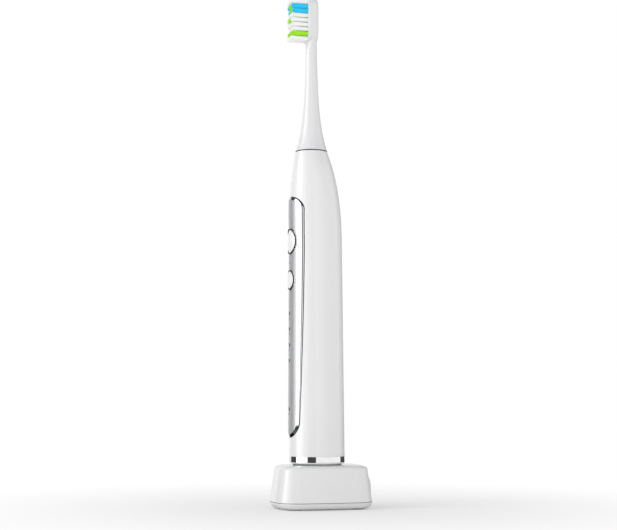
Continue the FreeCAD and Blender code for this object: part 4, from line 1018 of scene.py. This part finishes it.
class TOOTHBRUSH_OT_stage(bpy.types.Operator):
    """Set the pale floor, the soft studio light and the camera"""
    bl_idname = "toothbrush.stage"
    bl_label = "Studio Stage"

    # Cards round the object: the angle where each starts, and its level
    cards = [(-180, 0.105), (-137, 0.008), (-96, 0.30), (-91, 0.50), (-66, 0.34), (-58, 0.15), (-40, 0.008),
             (-4, 0.125), (114, 0.008), (163, 0.105)]
    card_softness = 1.2
    card_gain = 8.0
    card_ends = (1.0, 0.03)         # how the cards fade out above and below
    cards_top = (0.42, 0.62)
    cards_bottom = (0.15, 0.27)
    overhead = 0.6                  # of the soft light's level at the sides
    floor_fade = (-0.05, 0.26)      # from matt floor to plain white, outwards
    key_size = (0.5, 0.7)
    key_spot = (0.15, -0.75, 0.45)
    key_target = (0.0, 0.0, 0.12)
    film_width = 36.0

    def execute(self, context):
        self.floor(context)
        self.surroundings(context)
        self.lights(context)
        self.camera(context)
        context.scene.view_settings.view_transform = "Standard"
        return {"FINISHED"}

    def floor(self, context):
        """A round floor whose light grey fades into the white background."""
        rings = [circle(radius, 0.0, 96) for radius in (0.03, 0.1, 0.3, 1.0, 4.0)]
        points, faces = joined(loft(rings), lid(rings[0], Vector((0.0, 0.0, 0.0))))
        mesh = bpy.data.meshes.new("floor")
        mesh.from_pydata([tuple(point) for point in points], [], faces)
        floor = bpy.data.objects.new("floor", mesh)
        context.scene.collection.objects.link(floor)
        material = bpy.data.materials.new("pale_floor")
        material.use_nodes = True
        tree = material.node_tree
        tree.nodes.clear()
        place = add_node(tree, "TexCoord").outputs["Object"]
        away = add_node(tree, "VectorMath", {0: place}, operation="LENGTH").outputs["Value"]
        matt = add_node(tree, "BsdfDiffuse", {"Color": (0.93, 0.93, 0.93, 1.0)})
        glow = add_node(tree, "Emission", {"Color": (1.0, 1.0, 1.0, 1.0)})
        blend = add_node(tree, "MixShader", {"Fac": graded(tree, away, self.floor_fade),
                                             1: matt.outputs["BSDF"], 2: glow.outputs["Emission"]})
        add_node(tree, "OutputMaterial", {"Surface": blend.outputs["Shader"]})
        mesh.materials.append(material)
        floor.visible_glossy = False

    def surroundings(self, context):
        """Soft white all round, with tall light and dark cards for the gloss to mirror."""
        studio = context.scene.toothbrush_studio
        world = bpy.data.worlds.new("studio")
        context.scene.world = world
        world.use_nodes = True
        tree = world.node_tree
        tree.nodes.clear()
        look = Vector(studio.look).normalized()
        up = Vector((0.0, 0.0, 1.0))
        place = add_node(tree, "TexCoord").outputs["Generated"]

        def along(direction):
            inputs = {0: place, 1: direction}
            return add_node(tree, "VectorMath", inputs, operation="DOT_PRODUCT").outputs["Value"]

        def maths(operation, *values):
            return add_node(tree, "Math", dict(enumerate(values)), operation=operation).outputs["Value"]

        def either(chooser, off, on):
            inputs = {"Factor": chooser, 2: off, 3: on}
            return add_node(tree, "Mix", inputs, data_type="FLOAT").outputs[0]

        turn = maths("ARCTAN2", along(look.cross(up).normalized()), along(-look))
        share = maths("DIVIDE", maths("ADD", turn, math.pi), TURN)
        ramp = add_node(tree, "ValToRGB", {"Fac": share})
        stops = ramp.color_ramp.elements
        stops.remove(stops[-1])
        before = self.cards[-1][1]
        for number, (angle, level) in enumerate(self.cards):
            if number:
                stop = stops.new((angle - self.card_softness + 180) / 360)
                stop.color = (before, before, before, 1.0)
                stop = stops.new((angle + self.card_softness + 180) / 360)
            else:
                stop = stops[0]
                stop.position = 0.0
            stop.color = (level, level, level, 1.0)
            before = level
        rise = along(up)
        above = graded(tree, rise, self.cards_top, self.card_ends)
        below = graded(tree, maths("MULTIPLY", rise, -1.0), self.cards_bottom, self.card_ends)
        level_band = maths("MULTIPLY", above, below)
        cards_level = maths("MULTIPLY", maths("MULTIPLY", ramp.outputs["Color"], level_band), self.card_gain)
        soft = graded(tree, maths("ABSOLUTE", rise), (0.0, 1.0),
                      (studio.fill, studio.fill * self.overhead), "LINEAR")
        rays = add_node(tree, "LightPath").outputs
        seen = either(rays["Is Glossy Ray"], soft, cards_level)
        seen = either(rays["Is Camera Ray"], seen, 1.0)
        background = add_node(tree, "Background", {"Color": (1.0, 1.0, 1.0, 1.0), "Strength": seen})
        add_node(tree, "OutputWorld", {"Surface": background.outputs["Background"]})

    def lights(self, context):
        studio = context.scene.toothbrush_studio
        light = bpy.data.lights.new("key", "AREA")
        light.shape = "RECTANGLE"
        light.size, light.size_y = self.key_size
        light.energy = studio.key
        key = bpy.data.objects.new("key", light)
        key.location = self.key_spot
        aim = Vector(self.key_target) - key.location
        key.rotation_euler = aim.to_track_quat("-Z", "Y").to_euler()
        key.visible_glossy = False
        key.visible_camera = False
        context.scene.collection.objects.link(key)

    def camera(self, context):
        studio = context.scene.toothbrush_studio
        data = bpy.data.cameras.new("camera")
        data.lens = studio.lens
        data.sensor_width = self.film_width
        data.clip_start = 0.01
        camera = bpy.data.objects.new("camera", data)
        camera.location = studio.camera
        level = Vector(studio.look).normalized()
        aim = level * math.cos(studio.pitch) + Vector((0.0, 0.0, math.sin(studio.pitch)))
        camera.rotation_euler = aim.to_track_quat("-Z", "Y").to_euler()
        context.scene.collection.objects.link(camera)
        context.scene.camera = camera


class TOOTHBRUSH_PT_panel(bpy.types.Panel):
    """The toothbrush's pieces and their sizes"""
    bl_idname = "TOOTHBRUSH_PT_panel"
    bl_label = "Toothbrush"
    bl_space_type = "VIEW_3D"
    bl_region_type = "UI"
    bl_category = "Toothbrush"

    def draw(self, context):
        for operator in OPERATORS:
            self.layout.operator(operator.bl_idname)
        for name, group in GROUPS.items():
            box = self.layout.box()
            settings = getattr(context.scene, name)
            for size in group.__annotations__:
                box.prop(settings, size)


GROUPS = {
    "toothbrush_handle": HandleSizes,
    "toothbrush_panel": PanelSizes,
    "toothbrush_buttons": ButtonSizes,
    "toothbrush_base": BaseSizes,
    "toothbrush_head": HeadSizes,
    "toothbrush_colours": FinishColours,
    "toothbrush_studio": StudioSizes,
}
OPERATORS = [
    TOOTHBRUSH_OT_stage,
    TOOTHBRUSH_OT_finish_parts,
    TOOTHBRUSH_OT_faceplate,
    TOOTHBRUSH_OT_trim,
    TOOTHBRUSH_OT_buttons,
    TOOTHBRUSH_OT_marks,
    TOOTHBRUSH_OT_joint_lines,
    TOOTHBRUSH_OT_bristles,
]


def register():
    for group in GROUPS.values():
        bpy.utils.register_class(group)
    for name, group in GROUPS.items():
        setattr(bpy.types.Scene, name, PointerProperty(type=group))
    for operator in OPERATORS:
        bpy.utils.register_class(operator)
    bpy.utils.register_class(TOOTHBRUSH_PT_panel)


def unregister():
    bpy.utils.unregister_class(TOOTHBRUSH_PT_panel)
    for operator in reversed(OPERATORS):
        bpy.utils.unregister_class(operator)
    for name, group in GROUPS.items():
        delattr(bpy.types.Scene, name)
        bpy.utils.unregister_class(group)


def main():
    register()
    for operator in OPERATORS:
        group, name = operator.bl_idname.split(".")
        getattr(getattr(bpy.ops, group), name)()
    bpy.context.view_layer.update()


if __name__ == "__main__":
    main()
